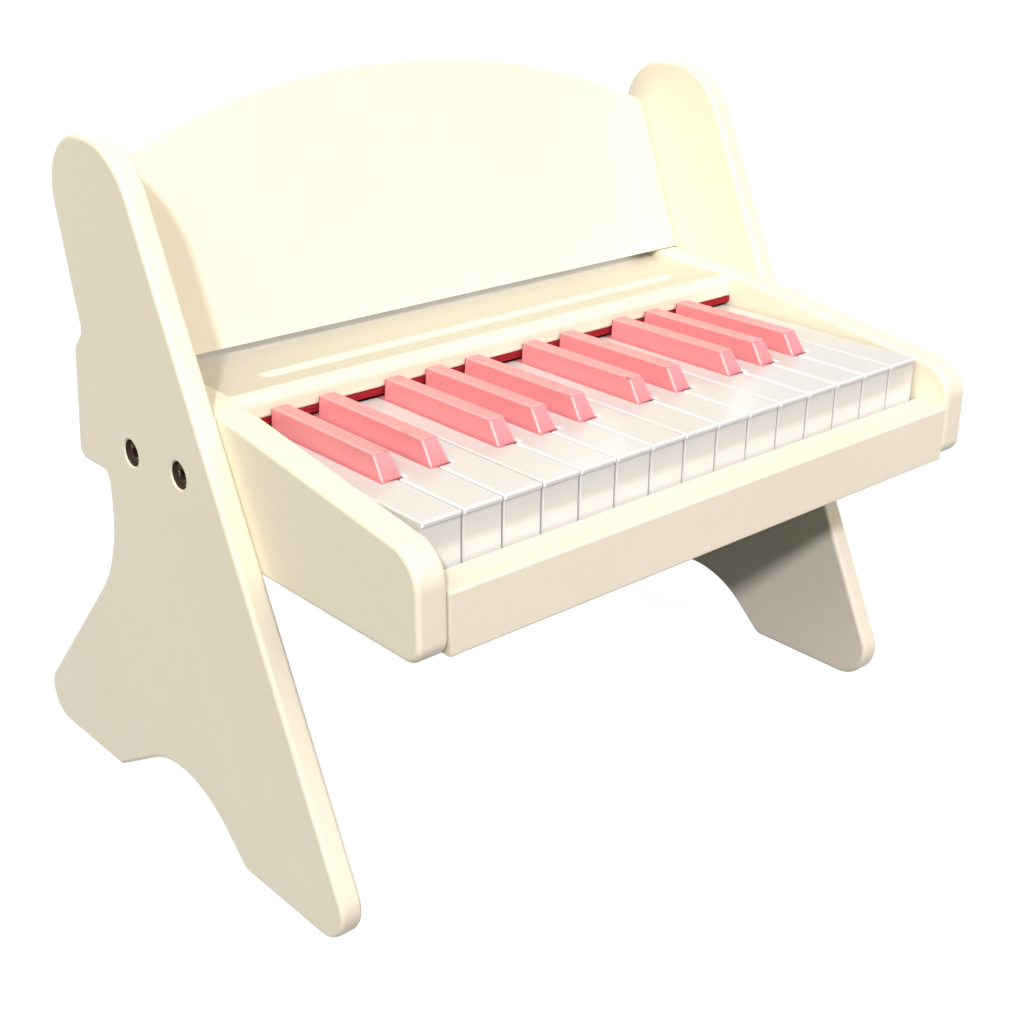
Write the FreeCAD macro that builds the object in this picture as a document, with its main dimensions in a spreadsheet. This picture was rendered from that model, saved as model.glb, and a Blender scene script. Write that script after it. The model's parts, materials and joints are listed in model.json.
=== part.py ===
import FreeCAD, Part
import math
import os

# A small upright toy piano: two shaped side legs carry a key box of painted board, a leaning music
# panel stands between the legs, and fifteen white keys with ten sharps turn on one steel rod.
# X runs along the keyboard to the right, Y from the player to the back, Z up from the floor.
# A reach is a distance back from the front face of the key box.

SIZES = {
    # Keyboard
    "white_pitch": 22.0,
    "key_gap": 1.0,
    "shoulder_gap": 1.5,
    "key_front_gap": 1.5,
    "key_height": 25.0,
    "key_wall": 1.8,
    "key_roof": 2.4,
    "key_bevel": 0.6,
    "lip_overhang": 1.0,
    "lip_height": 2.2,
    "neck_cover": 2.7,
    "neck_solid": 16.0,
    "sharp_width": 10.5,
    "sharp_top_width": 8.5,
    "sharp_rise": 10.5,
    "white_head_length": 44.5,
    "sharp_front_run": 7.5,
    "sharp_back_clearance": 2.0,
    "key_dip": 8.0,
    # Key levers and their pivot
    "pivot_reach": 161.0,
    "pivot_drop": 17.5,
    "lever_width": 9.0,
    "lever_height": 10.0,
    "tail_length": 51.0,
    "tail_height": 7.0,
    "hammer_length": 42.0,
    "hammer_width": 6.0,
    "hammer_crown": 1.8,
    "strike_gap": 1.0,
    "rod_diameter": 4.0,
    "rod_end_gap": 0.4,
    "running_clearance": 0.05,
    "rest_clearance": 0.3,
    "pivot_rail_depth": 24.0,
    "pivot_rail_gap": 2.0,
    "bracket_thickness": 1.6,
    "bracket_width": 8.0,
    "bracket_seat": 6.0,
    # Stops for the keys
    "stop_setback": 19.0,
    "stop_depth": 18.0,
    "stop_felt_thickness": 4.0,
    "rest_depth": 12.0,
    "rest_felt_thickness": 3.0,
    # Tone bars
    "bar_width": 9.5,
    "bar_thickness": 3.0,
    "bar_longest": 52.0,
    "bar_shortest": 36.0,
    "bar_rail_spacing": 24.0,
    "bar_rail_depth": 9.0,
    "bar_rail_height": 6.0,
    "bar_felt_thickness": 2.0,
    "bar_room": 2.0,
    "bar_clamp_thickness": 3.0,
    # Key box
    "box_lift_share": 0.47007,
    "cheek_thickness": 16.0,
    "cheek_clearance": 2.0,
    "cheek_front_height": 48.0,
    "cheek_front_radius": 18.0,
    "cheek_foot_radius": 9.0,
    "cheek_bend_lead": 4.8,
    "cheek_bend_rise": 0.4,
    "cheek_bend_radius": 180.0,
    "cheek_rear_rise": 5.5,
    "rail_thickness": 19.5,
    "rail_height": 29.4,
    "rail_nose_radius": 4.0,
    "rail_gap": 0.3,
    "key_rise": 22.8,
    "base_thickness": 9.0,
    "back_thickness": 12.0,
    "shelf_lead": 8.2,
    "shelf_thickness": 12.0,
    "shelf_nose_radius": 6.0,
    "groove_inset": 22.0,
    "groove_width": 4.0,
    "groove_depth": 4.0,
    "groove_margin": 32.0,
    "felt_thickness": 3.9,
    "felt_depth": 9.0,
    "felt_clearance": 1.4,
    # Music panel
    "panel_inset": 32.0,
    "panel_thickness": 9.0,
    "panel_end_drop": 23.8,
    "panel_crown": 39.5,
    "panel_corner_radius": 4.0,
    "panel_lean": 21.7,
    "panel_clearance": 0.3,
    "tenon_thickness": 5.0,
    "tenon_depth": 5.0,
    "tenon_foot_share": 0.178,
    "tenon_height_share": 0.644,
    # Legs
    "heel_reach": 333.0,
    "leg_thickness": 12.0,
    "leg_height": 342.5,
    "edge_ease": 1.4,
    "toe_reach": 35.7,
    "toe_radius": 18.5,
    "lobe_width": 70.6,
    "lobe_front_radius": 40.0,
    "lobe_rear_radius": 30.0,
    "lobe_setback": 21.6,
    "notch_setback": 2.5,
    "notch_share": 0.7226,
    "notch_radius": 4.0,
    "hook_top_setback": 11.5,
    "hook_top_share": 0.695,
    "hook_top_radius": 8.0,
    "hook_foot_setback": 19.0,
    "hook_foot_share": 0.5215,
    "hook_foot_radius": 6.0,
    "waist_inset": 10.5,
    "waist_straight": 14.1,
    "waist_corner_radius": 5.0,
    "waist_bend_radius": 85.0,
    "heel_radius": 16.3,
    "arch_front_reach": 129.0,
    "arch_rear_reach": 255.0,
    "arch_front_slope": 42.0,
    "arch_rear_slope": 30.0,
    "arch_radius": 60.0,
    "arch_corner_radius": 7.0,
    # Bolts that hold the legs to the cheeks
    "bolt_diameter": 6.0,
    "bolt_head_diameter": 12.4,
    "bolt_head_height": 4.0,
    "socket_width": 5.0,
    "socket_depth": 3.0,
    "recess_diameter": 13.4,
    "recess_depth": 6.4,
    "recess_chamfer": 0.8,
    "bolt_clearance": 0.25,
    "bolt_height": 37.6,
    "bolt_spacing": 44.3,
    "bolt_fall": 2.1,
    "nut_width": 10.0,
    "nut_thickness": 5.0,
    # Overrun of every through cut
    "overrun": 2.0,
}

# White keys in each run of the keyboard between two neighbours that have no sharp between them
RUN_COUNTS = (3, 4, 3, 4, 1)
NOTES = ("c", "c_sharp", "d", "d_sharp", "e", "f", "f_sharp", "g", "g_sharp", "a", "a_sharp", "b")

# Degrees that stand a piece drawn flat upright
QUARTER_TURN_DEGREES = 90

# Sides of a nut and of the socket in a bolt's head
HEX_SIDE_COUNT = 6

# Two places closer than this are the same place
SAME_PLACE = 1e-6

doc = FreeCAD.newDocument("ToyPiano")
sheet = doc.addObject("Spreadsheet::Sheet", "sizes")
for row, (alias, value) in enumerate(SIZES.items(), 1):
    sheet.set("A%d" % row, alias)
    sheet.set("B%d" % row, str(value))
    sheet.setAlias("B%d" % row, alias)
doc.recompute()


class Sizes:
    """The driving sizes, read from the sheet by name."""

    def __getattr__(self, alias):
        return float(sheet.get(alias))


dim = Sizes()
nodes = []

# Places that follow from the driving sizes
keyboard_width = sum(RUN_COUNTS) * dim.white_pitch
cheek_inner = keyboard_width / 2 + dim.cheek_clearance
cheek_outer = cheek_inner + dim.cheek_thickness
leg_outer = cheek_outer + dim.leg_thickness
box_lift = dim.leg_height * dim.box_lift_share
base_top = box_lift + dim.base_thickness
rail_top = box_lift + dim.rail_height
key_top = rail_top + dim.key_rise
felt_bottom = key_top + dim.felt_clearance
shelf_bottom = felt_bottom + dim.felt_thickness
shelf_top = shelf_bottom + dim.shelf_thickness
key_front_reach = dim.rail_thickness + dim.key_front_gap
sharp_front_reach = key_front_reach + dim.white_head_length
shelf_front_reach = dim.pivot_reach - dim.shelf_lead
pivot_height = key_top - dim.pivot_drop
neck_end_reach = shelf_front_reach + dim.neck_cover
key_turn = math.asin(dim.key_dip / (dim.pivot_reach - key_front_reach))
bar_bottom = shelf_bottom - dim.bar_rail_height - dim.bar_felt_thickness - dim.bar_thickness
hammer_reach = dim.pivot_reach + dim.hammer_length
back_reach = hammer_reach + dim.bar_longest / 2 + dim.bar_room
cheek_reach = back_reach + dim.back_thickness
cheek_bend_reach = shelf_front_reach - dim.cheek_bend_lead
panel_reach = cheek_reach - dim.panel_inset
nut_reach = dim.nut_width / math.sqrt(3)
bar_rail_reaches = (hammer_reach - dim.bar_rail_spacing / 2, hammer_reach + dim.bar_rail_spacing / 2)


def y_at(reach):
    """Y of a place that lies this far behind the front of the key box."""
    return reach - dim.heel_reach / 2


def same(one, other):
    return abs(one - other) < SAME_PLACE


def origin_plane(body, role):
    return next(item for item in body.Origin.OriginFeatures if item.Role == role)


def rounded(corners):
    """Edges of a closed outline whose corners (across, up, radius) are rounded by tangent arcs."""
    points = [FreeCAD.Vector(across, up, 0) for across, up, radius in corners]
    stretches = []
    for index, (across, up, radius) in enumerate(corners):
        corner = points[index]
        before = (points[index - 1] - corner).normalize()
        after = (points[(index + 1) % len(points)] - corner).normalize()
        half = before.getAngle(after) / 2
        if radius == 0:
            stretches.append((corner, None, corner))
            continue
        start = corner + before * (radius / math.tan(half))
        end = corner + after * (radius / math.tan(half))
        middle = corner + (before + after).normalize() * (radius / math.sin(half) - radius)
        stretches.append((start, middle, end))
    edges = []
    for index, (start, middle, end) in enumerate(stretches):
        if middle is not None:
            edges.append(Part.Arc(start, middle, end))
        edges.append(Part.LineSegment(end, stretches[(index + 1) % len(stretches)][0]))
    return edges


def polygon(points):
    """Edges of a closed outline with square corners, without points that repeat."""
    kept = [point for index, point in enumerate(points) if point != points[index - 1]]
    return rounded([(across, up, 0) for across, up in kept])


def rectangle(left, right, low, high):
    return polygon([(left, low), (right, low), (right, high), (left, high)])


def hexagon(across, up, reach):
    """Edges of a hexagon whose corners lie this far from its centre."""
    turns = [2 * math.pi * side / HEX_SIDE_COUNT for side in range(HEX_SIDE_COUNT)]
    return polygon([(across + reach * math.cos(turn), up + reach * math.sin(turn)) for turn in turns])


def circle(across, up, radius):
    return [Part.Circle(FreeCAD.Vector(across, up, 0), FreeCAD.Vector(0, 0, 1), radius)]


def sketch_in(body, role, name, edges, offset):
    """A sketch of these edges on one of the body's own planes, moved along the plane's normal."""
    sketch = body.newObject("Sketcher::SketchObject", name)
    sketch.AttachmentSupport = [(origin_plane(body, role), "")]
    sketch.MapMode = "FlatFace"
    sketch.AttachmentOffset = FreeCAD.Placement(FreeCAD.Vector(0, 0, offset), FreeCAD.Rotation())
    sketch.addGeometry(edges, False)
    return sketch


def add_body(label, base):
    body = doc.addObject("PartDesign::Body", label)
    body.Label = label
    body.Placement.Base = base
    return body


def pad(body, role, name, edges, offset, length):
    """Material over a sketch, along the plane's normal, as long as the expression says."""
    feature = body.newObject("PartDesign::Pad", name)
    feature.Profile = sketch_in(body, role, name + "Sketch", edges, offset)
    feature.setExpression("Length", length)
    doc.recompute()
    return feature


def pocket(body, role, name, edges, offset, length):
    """A cut over a sketch, along the plane's normal, as deep as the expression says."""
    before = body.Shape.Volume
    feature = body.newObject("PartDesign::Pocket", name)
    feature.Profile = sketch_in(body, role, name + "Sketch", edges, offset)
    feature.Reversed = True
    feature.setExpression("Length", length)
    doc.recompute()
    if not body.Shape.Volume < before:
        raise RuntimeError(name + " cuts nothing from " + body.Label)
    return feature


def edge_names(shape, test):
    """Names of the edges whose every end passes the test."""
    return ["Edge%d" % number for number, edge in enumerate(shape.Edges, 1)
            if all(test(vertex.Point) for vertex in edge.Vertexes)]


def corner_edges(shape, height):
    """Names of the straight edges that run through a board's thickness at this height."""
    return ["Edge%d" % number for number, edge in enumerate(shape.Edges, 1)
            if all(same(vertex.Point.z, height) for vertex in edge.Vertexes)
            and same(edge.BoundBox.XLength, 0)]


def chamfer(body, name, test, size):
    tip = body.Tip
    names = edge_names(tip.Shape, test)
    feature = body.newObject("PartDesign::Chamfer", name)
    feature.Base = (tip, names)
    feature.setExpression("Size", size)
    doc.recompute()
    return feature


def finish(node):
    """Keep this document object as a sub-part."""
    nodes.append(node)
    return node


def block(label, corner, length, depth, height):
    """A square-edged strip or board whose three sizes are expressions."""
    box = doc.addObject("Part::Box", label)
    box.Label = label
    box.setExpression("Length", length)
    box.setExpression("Width", depth)
    box.setExpression("Height", height)
    box.Placement.Base = FreeCAD.Vector(*corner)
    return box


def cylinder(name, base, direction, radius, length):
    """A round bar from a base point along a direction; radius and length are expressions."""
    bar = doc.addObject("Part::Cylinder", name)
    bar.setExpression("Radius", radius)
    bar.setExpression("Height", length)
    turn = FreeCAD.Rotation(FreeCAD.Vector(0, 0, 1), FreeCAD.Vector(*direction))
    bar.Placement = FreeCAD.Placement(FreeCAD.Vector(*base), turn)
    return bar


def joined(kind, label, first, second):
    """A Part::Cut or Part::Fuse of two document objects."""
    result = doc.addObject(kind, label)
    result.Label = label
    result.Base = first
    result.Tool = second
    return result


def gathered(label, items):
    """Several like solids that share one node."""
    compound = doc.addObject("Part::Compound", label)
    compound.Label = label
    compound.Links = items
    return compound


def back_slope(waist_reach, bend_top):
    """Slope of the line that touches both the round heel and the hollow bend below the waist."""
    across = dim.heel_reach - dim.heel_radius - waist_reach - dim.waist_bend_radius
    down = bend_top - dim.heel_radius
    bends = dim.waist_bend_radius + dim.heel_radius
    return math.atan2(down, across) - math.asin(bends / math.hypot(across, down))


def leg_corners():
    """Side outline of a leg: toe, foot arch, heel, waist, hook behind the key box, round top."""
    waist_reach = cheek_reach - dim.waist_inset
    hook_foot_height = dim.leg_height * dim.hook_foot_share
    slope = back_slope(waist_reach, hook_foot_height - dim.waist_straight)
    heel_corner = dim.heel_reach + dim.heel_radius * (1 / math.tan(slope / 2) - 1)
    waist_bend = (heel_corner - waist_reach) * math.tan(slope)
    notch_reach = cheek_reach + dim.notch_setback
    lobe_rear = notch_reach + dim.lobe_setback
    rise = math.tan(math.radians(dim.arch_front_slope))
    fall = math.tan(math.radians(dim.arch_rear_slope))
    span = dim.arch_rear_reach - dim.arch_front_reach
    apex_run = span * fall / (rise + fall)
    corners = [
        (dim.toe_reach, 0, dim.toe_radius),
        (dim.arch_front_reach, 0, dim.arch_corner_radius),
        (dim.arch_front_reach + apex_run, apex_run * rise, dim.arch_radius),
        (dim.arch_rear_reach, 0, 0),
        (heel_corner, 0, dim.heel_radius),
        (waist_reach, waist_bend, dim.waist_bend_radius),
        (waist_reach, hook_foot_height, dim.waist_corner_radius),
        (cheek_reach + dim.hook_foot_setback, hook_foot_height, dim.hook_foot_radius),
        (cheek_reach + dim.hook_top_setback, dim.leg_height * dim.hook_top_share, dim.hook_top_radius),
        (notch_reach, dim.leg_height * dim.notch_share, dim.notch_radius),
        (lobe_rear, dim.leg_height, dim.lobe_rear_radius),
        (lobe_rear - dim.lobe_width, dim.leg_height, dim.lobe_front_radius),
    ]
    return [(y_at(reach), height, radius) for reach, height, radius in corners]


def bolt_places():
    """Y and Z of the two bolts of a leg: one beside the pivot rod, one behind it and a little lower."""
    height = box_lift + dim.bolt_height
    rear_reach = dim.pivot_reach + dim.bolt_spacing
    return [(y_at(dim.pivot_reach), height), (y_at(rear_reach), height - dim.bolt_fall)]


def bolt_circles(radius):
    return [circle(across, up, radius)[0] for across, up in bolt_places()]


def panel_frame():
    """Placement of the music panel: its front lower edge, leaning back."""
    lean = FreeCAD.Rotation(FreeCAD.Vector(1, 0, 0), -dim.panel_lean)
    foot_depth = dim.panel_thickness / math.cos(math.radians(dim.panel_lean))
    seat = cheek_top_at(panel_reach + foot_depth) + dim.panel_clearance
    return FreeCAD.Placement(FreeCAD.Vector(0, y_at(panel_reach), seat), lean)


def cheek_top_at(reach):
    """Height of the cheeks' top edge behind its bend."""
    share = (reach - cheek_bend_reach) / (cheek_reach - cheek_bend_reach)
    return shelf_top + dim.cheek_bend_rise + (dim.cheek_rear_rise - dim.cheek_bend_rise) * share


def panel_end():
    """Height of the music panel's ends along its slope, below the tops of the legs."""
    rise = dim.leg_height - dim.panel_end_drop - panel_frame().Base.z
    return rise / math.cos(math.radians(dim.panel_lean))


def tenon(clearance):
    """Corners of the tenon at the music panel's ends, or of its mortise, across and up the panel."""
    near = (dim.panel_thickness - dim.tenon_thickness) / 2 - clearance
    far = dim.panel_thickness - near
    low = panel_end() * dim.tenon_foot_share - clearance
    high = panel_end() * (dim.tenon_foot_share + dim.tenon_height_share) + clearance
    return [(near, low), (far, low), (far, high), (near, high)]


def make_leg(label, side):
    """A side leg: shaped board with eased edges, bolt recesses and a mortise for the music panel."""
    inner = side * cheek_outer
    start = min(inner, side * leg_outer)
    body = add_body(label, FreeCAD.Vector(start, 0, 0))
    pad(body, "YZ_Plane", label + "Board", rounded(leg_corners()), 0, "sizes.leg_thickness")
    chamfer(body, label + "Ease", lambda point: same(point.x, 0), "sizes.edge_ease")
    chamfer(body, label + "EaseFar", lambda point: same(point.x, dim.leg_thickness), "sizes.edge_ease")
    outer_side = dim.leg_thickness if side > 0 else 0
    recess_start = dim.leg_thickness - dim.recess_depth if side > 0 else 0
    bores = bolt_circles(dim.bolt_diameter / 2 + dim.bolt_clearance)
    rims = dim.recess_diameter / 2
    pocket(body, "YZ_Plane", label + "Bores", bores, 0, "sizes.leg_thickness")
    pocket(body, "YZ_Plane", label + "Recesses", bolt_circles(rims), recess_start, "sizes.recess_depth")
    chamfer(body, label + "Rims", lambda point: same(point.x, outer_side)
            and on_circles(point, bolt_places(), rims), "sizes.recess_chamfer")
    frame = panel_frame()
    mouth = [frame.multVec(FreeCAD.Vector(0, across, up)) for across, up in tenon(dim.running_clearance)]
    mortise = polygon([(point.y, point.z) for point in mouth])
    mortise_start = 0 if side > 0 else dim.leg_thickness - dim.tenon_depth - dim.panel_clearance
    pocket(body, "YZ_Plane", label + "Mortise", mortise, mortise_start, "sizes.tenon_depth + sizes.panel_clearance")
    return finish(body)


def on_circles(point, centres, radius):
    """Whether a point lies on one of these circles, seen along X."""
    return any(same(math.hypot(point.y - across, point.z - up), radius) for across, up in centres)


def make_cheek(label, side):
    """A cheek: end board of the key box with a sloping top edge and a round front corner."""
    start = min(side * cheek_inner, side * cheek_outer)
    front_top = box_lift + dim.cheek_front_height
    corners = [
        (y_at(0), box_lift, dim.cheek_foot_radius),
        (y_at(cheek_reach), box_lift, 0),
        (y_at(cheek_reach), shelf_top + dim.cheek_rear_rise, 0),
        (y_at(cheek_bend_reach), shelf_top + dim.cheek_bend_rise, dim.cheek_bend_radius),
        (y_at(0), front_top, dim.cheek_front_radius),
    ]
    body = add_body(label, FreeCAD.Vector(start, 0, 0))
    pad(body, "YZ_Plane", label + "Board", rounded(corners), 0, "sizes.cheek_thickness")
    holes = bolt_circles(dim.bolt_diameter / 2 + dim.bolt_clearance)
    pocket(body, "YZ_Plane", label + "Bores", holes, 0, "sizes.cheek_thickness")
    nut_start = 0 if side > 0 else dim.cheek_thickness - dim.nut_thickness
    seat_reach = nut_reach + dim.running_clearance
    seats = [edge for across, up in bolt_places() for edge in hexagon(across, up, seat_reach)]
    pocket(body, "YZ_Plane", label + "Nuts", seats, nut_start, "sizes.nut_thickness")
    return finish(body)


def make_strip(label, corners, gap):
    """A board of one cross-section that runs between the cheeks, short of them by a gap at each end."""
    body = add_body(label, FreeCAD.Vector(gap - cheek_inner, 0, 0))
    pad(body, "YZ_Plane", label + "Board", rounded(corners), 0, "%.9f mm" % (2 * (cheek_inner - gap)))
    return body


def make_front_rail():
    """The rail in front of the keys, with a rounded nose."""
    corners = [
        (y_at(0), box_lift, dim.edge_ease),
        (y_at(dim.rail_thickness), box_lift, 0),
        (y_at(dim.rail_thickness), rail_top, dim.edge_ease),
        (y_at(0), rail_top, dim.rail_nose_radius),
    ]
    finish(make_strip("front_rail", corners, dim.rail_gap))


def make_shelf():
    """The shelf over the key levers, with a rounded nose and a stopped groove for a music sheet."""
    corners = [
        (y_at(shelf_front_reach), shelf_bottom, dim.edge_ease),
        (y_at(cheek_reach), shelf_bottom, 0),
        (y_at(cheek_reach), shelf_top, 0),
        (y_at(shelf_front_reach), shelf_top, dim.shelf_nose_radius),
    ]
    body = make_strip("key_shelf", corners, 0)
    groove_y = y_at(shelf_front_reach + dim.groove_inset)
    round_end = dim.groove_width / 2
    left = dim.groove_margin
    right = 2 * cheek_inner - dim.groove_margin
    low = groove_y - round_end
    high = groove_y + round_end
    groove = [
        Part.LineSegment(FreeCAD.Vector(left, low, 0), FreeCAD.Vector(right, low, 0)),
        Part.Arc(FreeCAD.Vector(right, low, 0), FreeCAD.Vector(right + round_end, groove_y, 0),
                 FreeCAD.Vector(right, high, 0)),
        Part.LineSegment(FreeCAD.Vector(right, high, 0), FreeCAD.Vector(left, high, 0)),
        Part.Arc(FreeCAD.Vector(left, high, 0), FreeCAD.Vector(left - round_end, groove_y, 0),
                 FreeCAD.Vector(left, low, 0)),
    ]
    pocket(body, "XY_Plane", "Groove", groove, shelf_top - dim.groove_depth, "sizes.groove_depth")
    finish(body)


def make_panel():
    """The music panel: an arched board that leans back, cut level at its foot, with a tenon at each end."""
    half = cheek_outer
    ends = panel_end()
    crown = ends + dim.panel_crown
    arch_radius = (half ** 2 + dim.panel_crown ** 2) / (2 * dim.panel_crown)
    body = add_body("music_panel", FreeCAD.Vector())
    body.Placement = panel_frame()
    outline = [
        Part.LineSegment(FreeCAD.Vector(-half, 0, 0), FreeCAD.Vector(half, 0, 0)),
        Part.LineSegment(FreeCAD.Vector(half, 0, 0), FreeCAD.Vector(half, ends, 0)),
        Part.Arc(FreeCAD.Vector(half, ends, 0), FreeCAD.Vector(0, crown, 0), FreeCAD.Vector(-half, ends, 0)),
        Part.LineSegment(FreeCAD.Vector(-half, ends, 0), FreeCAD.Vector(-half, 0, 0)),
    ]
    board = pad(body, "XZ_Plane", "PanelBoard", outline, -dim.panel_thickness, "sizes.panel_thickness")
    fillet = body.newObject("PartDesign::Fillet", "PanelCorners")
    fillet.Base = (board, corner_edges(board.Shape, ends))
    fillet.setExpression("Radius", "sizes.panel_corner_radius")
    doc.recompute()
    chamfer(body, "PanelEase", lambda point: point.z > ends - dim.panel_corner_radius - SAME_PLACE
            and not same(abs(point.x), half), "sizes.edge_ease")
    foot = dim.panel_thickness * math.tan(math.radians(dim.panel_lean))
    wedge = polygon([(0, 0), (dim.panel_thickness, 0), (dim.panel_thickness, foot)])
    pocket(body, "YZ_Plane", "PanelFoot", wedge, -half, "%.9f mm" % (2 * half))
    for name, start in (("PanelLeftTenon", -half - dim.tenon_depth), ("PanelRightTenon", half)):
        pad(body, "YZ_Plane", name, polygon(tenon(0)), start, "sizes.tenon_depth")
    finish(body)


def key_slots():
    """Every key from left to right: centre of its lever, and which white key it is, or None for a sharp."""
    slots = []
    white = 0
    for run in RUN_COUNTS:
        count = 2 * run - 1
        pitch = run * dim.white_pitch / count
        left = white * dim.white_pitch - keyboard_width / 2
        for place in range(count):
            centre = left + (2 * place + 1) * pitch / 2
            slots.append((centre, white + place // 2 if place % 2 == 0 else None))
        white += run
    return slots


def lever_corners():
    """Side outline of a key lever about its pivot: body at the rod, slim tail, crowned hammer."""
    rise = dim.hammer_length * math.sin(key_turn)
    hammer_top = bar_bottom - pivot_height - rise - dim.strike_gap
    low = -dim.lever_height / 2
    tail_top = low + dim.tail_height
    front = neck_end_reach - dim.neck_solid / 2 - dim.pivot_reach
    knuckle = dim.pivot_reach - neck_end_reach
    hammer_front = dim.hammer_length - dim.hammer_width / 2
    hammer_back = dim.hammer_length + dim.hammer_width / 2
    return [
        (front, low),
        (dim.tail_length, low),
        (dim.tail_length, tail_top),
        (hammer_back, tail_top),
        (hammer_back, hammer_top - dim.hammer_crown),
        (hammer_back - dim.hammer_crown, hammer_top),
        (hammer_front + dim.hammer_crown, hammer_top),
        (hammer_front, hammer_top - dim.hammer_crown),
        (hammer_front, tail_top),
        (knuckle, tail_top),
        (knuckle, -low),
        (front, -low),
    ]


def rod_slot(mouth):
    """Outline of a slot that takes the pivot rod: half round at the rod, open at the mouth's height."""
    radius = dim.rod_diameter / 2 + dim.running_clearance
    near = FreeCAD.Vector(-radius, 0, 0)
    far = FreeCAD.Vector(radius, 0, 0)
    near_mouth = FreeCAD.Vector(-radius, mouth, 0)
    far_mouth = FreeCAD.Vector(radius, mouth, 0)
    bottom = FreeCAD.Vector(0, -math.copysign(radius, mouth), 0)
    return [
        Part.LineSegment(near_mouth, far_mouth),
        Part.LineSegment(far_mouth, far),
        Part.Arc(far, bottom, near),
        Part.LineSegment(near, near_mouth),
    ]


def add_lever(body, label):
    """The lever behind the key's top, with a saddle that snaps down over the pivot rod."""
    half = dim.lever_width / 2
    pad(body, "YZ_Plane", label + "Lever", polygon(lever_corners()), -half, "sizes.lever_width")
    mouth = -dim.lever_height / 2 - dim.overrun
    pocket(body, "YZ_Plane", label + "Saddle", rod_slot(mouth), -half, "sizes.lever_width")


def white_plan(front_left, front_right, neck_left, neck_right, inset, end):
    """Plan of a white key, or of the hollow inside it: wide front, neck between the sharps."""
    front = key_front_reach - dim.pivot_reach + inset
    shoulder = sharp_front_reach - dim.shoulder_gap - dim.pivot_reach - inset
    return polygon([
        (front_left + inset, front),
        (front_right - inset, front),
        (front_right - inset, shoulder),
        (neck_right - inset, shoulder),
        (neck_right - inset, end),
        (neck_left + inset, end),
        (neck_left + inset, shoulder),
        (front_left + inset, shoulder),
    ])


def key_frame(centre):
    return FreeCAD.Vector(centre, y_at(dim.pivot_reach), pivot_height)


def make_white_key(label, centre, white, sharp_left, sharp_right):
    """A white key: hollow moulded top with a lip at the front, on its lever."""
    body = add_body(label, key_frame(centre))
    left = white * dim.white_pitch - keyboard_width / 2 + dim.key_gap / 2 - centre
    right = left + dim.white_pitch - dim.key_gap
    room = dim.sharp_width / 2 + dim.key_gap
    neck_left = left if sharp_left is None else sharp_left + room - centre
    neck_right = right if sharp_right is None else sharp_right - room - centre
    top = dim.pivot_drop
    bottom = top - dim.key_height
    neck_end = neck_end_reach - dim.pivot_reach
    front = key_front_reach - dim.pivot_reach
    outer = white_plan(left, right, neck_left, neck_right, 0, neck_end)
    pad(body, "XY_Plane", label + "Top", outer, bottom, "sizes.key_height")
    lip = rectangle(left, right, front - dim.lip_overhang, front)
    pad(body, "XY_Plane", label + "Lip", lip, top - dim.lip_height, "sizes.lip_height")
    chamfer(body, label + "Bevel", lambda point: same(point.z, top), "sizes.key_bevel")
    inner = white_plan(left, right, neck_left, neck_right, dim.key_wall, neck_end - dim.neck_solid)
    pocket(body, "XY_Plane", label + "Hollow", inner, bottom, "sizes.key_height - sizes.key_roof")
    add_lever(body, label)
    return finish(body)


def make_sharp_key(label, centre):
    """A sharp: tapered raised block with a sloping front, hollow below, on its lever."""
    body = add_body(label, key_frame(centre))
    half = dim.sharp_width / 2
    half_top = dim.sharp_top_width / 2
    top = dim.pivot_drop
    bottom = top - dim.key_height
    front = sharp_front_reach - dim.pivot_reach
    neck_end = neck_end_reach - dim.pivot_reach
    back = shelf_front_reach - dim.sharp_back_clearance - dim.pivot_reach
    stem = rectangle(-half, half, front, neck_end)
    pad(body, "XY_Plane", label + "Stem", stem, bottom, "sizes.key_height")
    crown = body.newObject("PartDesign::AdditiveWedge", label + "Block")
    crown.Placement.Base = FreeCAD.Vector(0, 0, top)
    crown.Placement.Rotation = FreeCAD.Rotation(FreeCAD.Vector(1, 0, 0), QUARTER_TURN_DEGREES)
    bounds = {
        "Xmin": -half, "Xmax": half, "X2min": -half_top, "X2max": half_top,
        "Ymin": 0, "Ymax": dim.sharp_rise,
        "Zmin": -back, "Zmax": -front, "Z2min": -back, "Z2max": -front - dim.sharp_front_run,
    }
    for name, value in bounds.items():
        setattr(crown, name, value)
    crown.setExpression("Ymax", "sizes.sharp_rise")
    doc.recompute()
    crest_height = top + dim.sharp_rise
    chamfer(body, label + "Bevel", lambda point: same(point.z, crest_height),
            "sizes.key_bevel")
    wall = dim.key_wall
    inner = rectangle(wall - half, half - wall, front + wall, neck_end - dim.neck_solid)
    pocket(body, "XY_Plane", label + "Hollow", inner, bottom, "sizes.key_height - sizes.key_roof")
    add_lever(body, label)
    return finish(body)


def make_keys():
    """All keys in order, named by number and note."""
    slots = key_slots()
    for index, (centre, white) in enumerate(slots):
        label = "key_%02d_%s" % (index + 1, NOTES[index % len(NOTES)])
        if white is None:
            make_sharp_key(label, centre)
            continue
        beside = [None, None]
        for side, neighbour in enumerate((index - 1, index + 1)):
            if 0 <= neighbour < len(slots) and slots[neighbour][1] is None:
                beside[side] = slots[neighbour][0]
        make_white_key(label, centre, white, *beside)


def run_edges():
    """X of the keyboard's ends and of the lines between white keys that have no sharp between them."""
    places = [-keyboard_width / 2]
    for run in RUN_COUNTS:
        places.append(places[-1] + run * dim.white_pitch)
    return places


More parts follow.
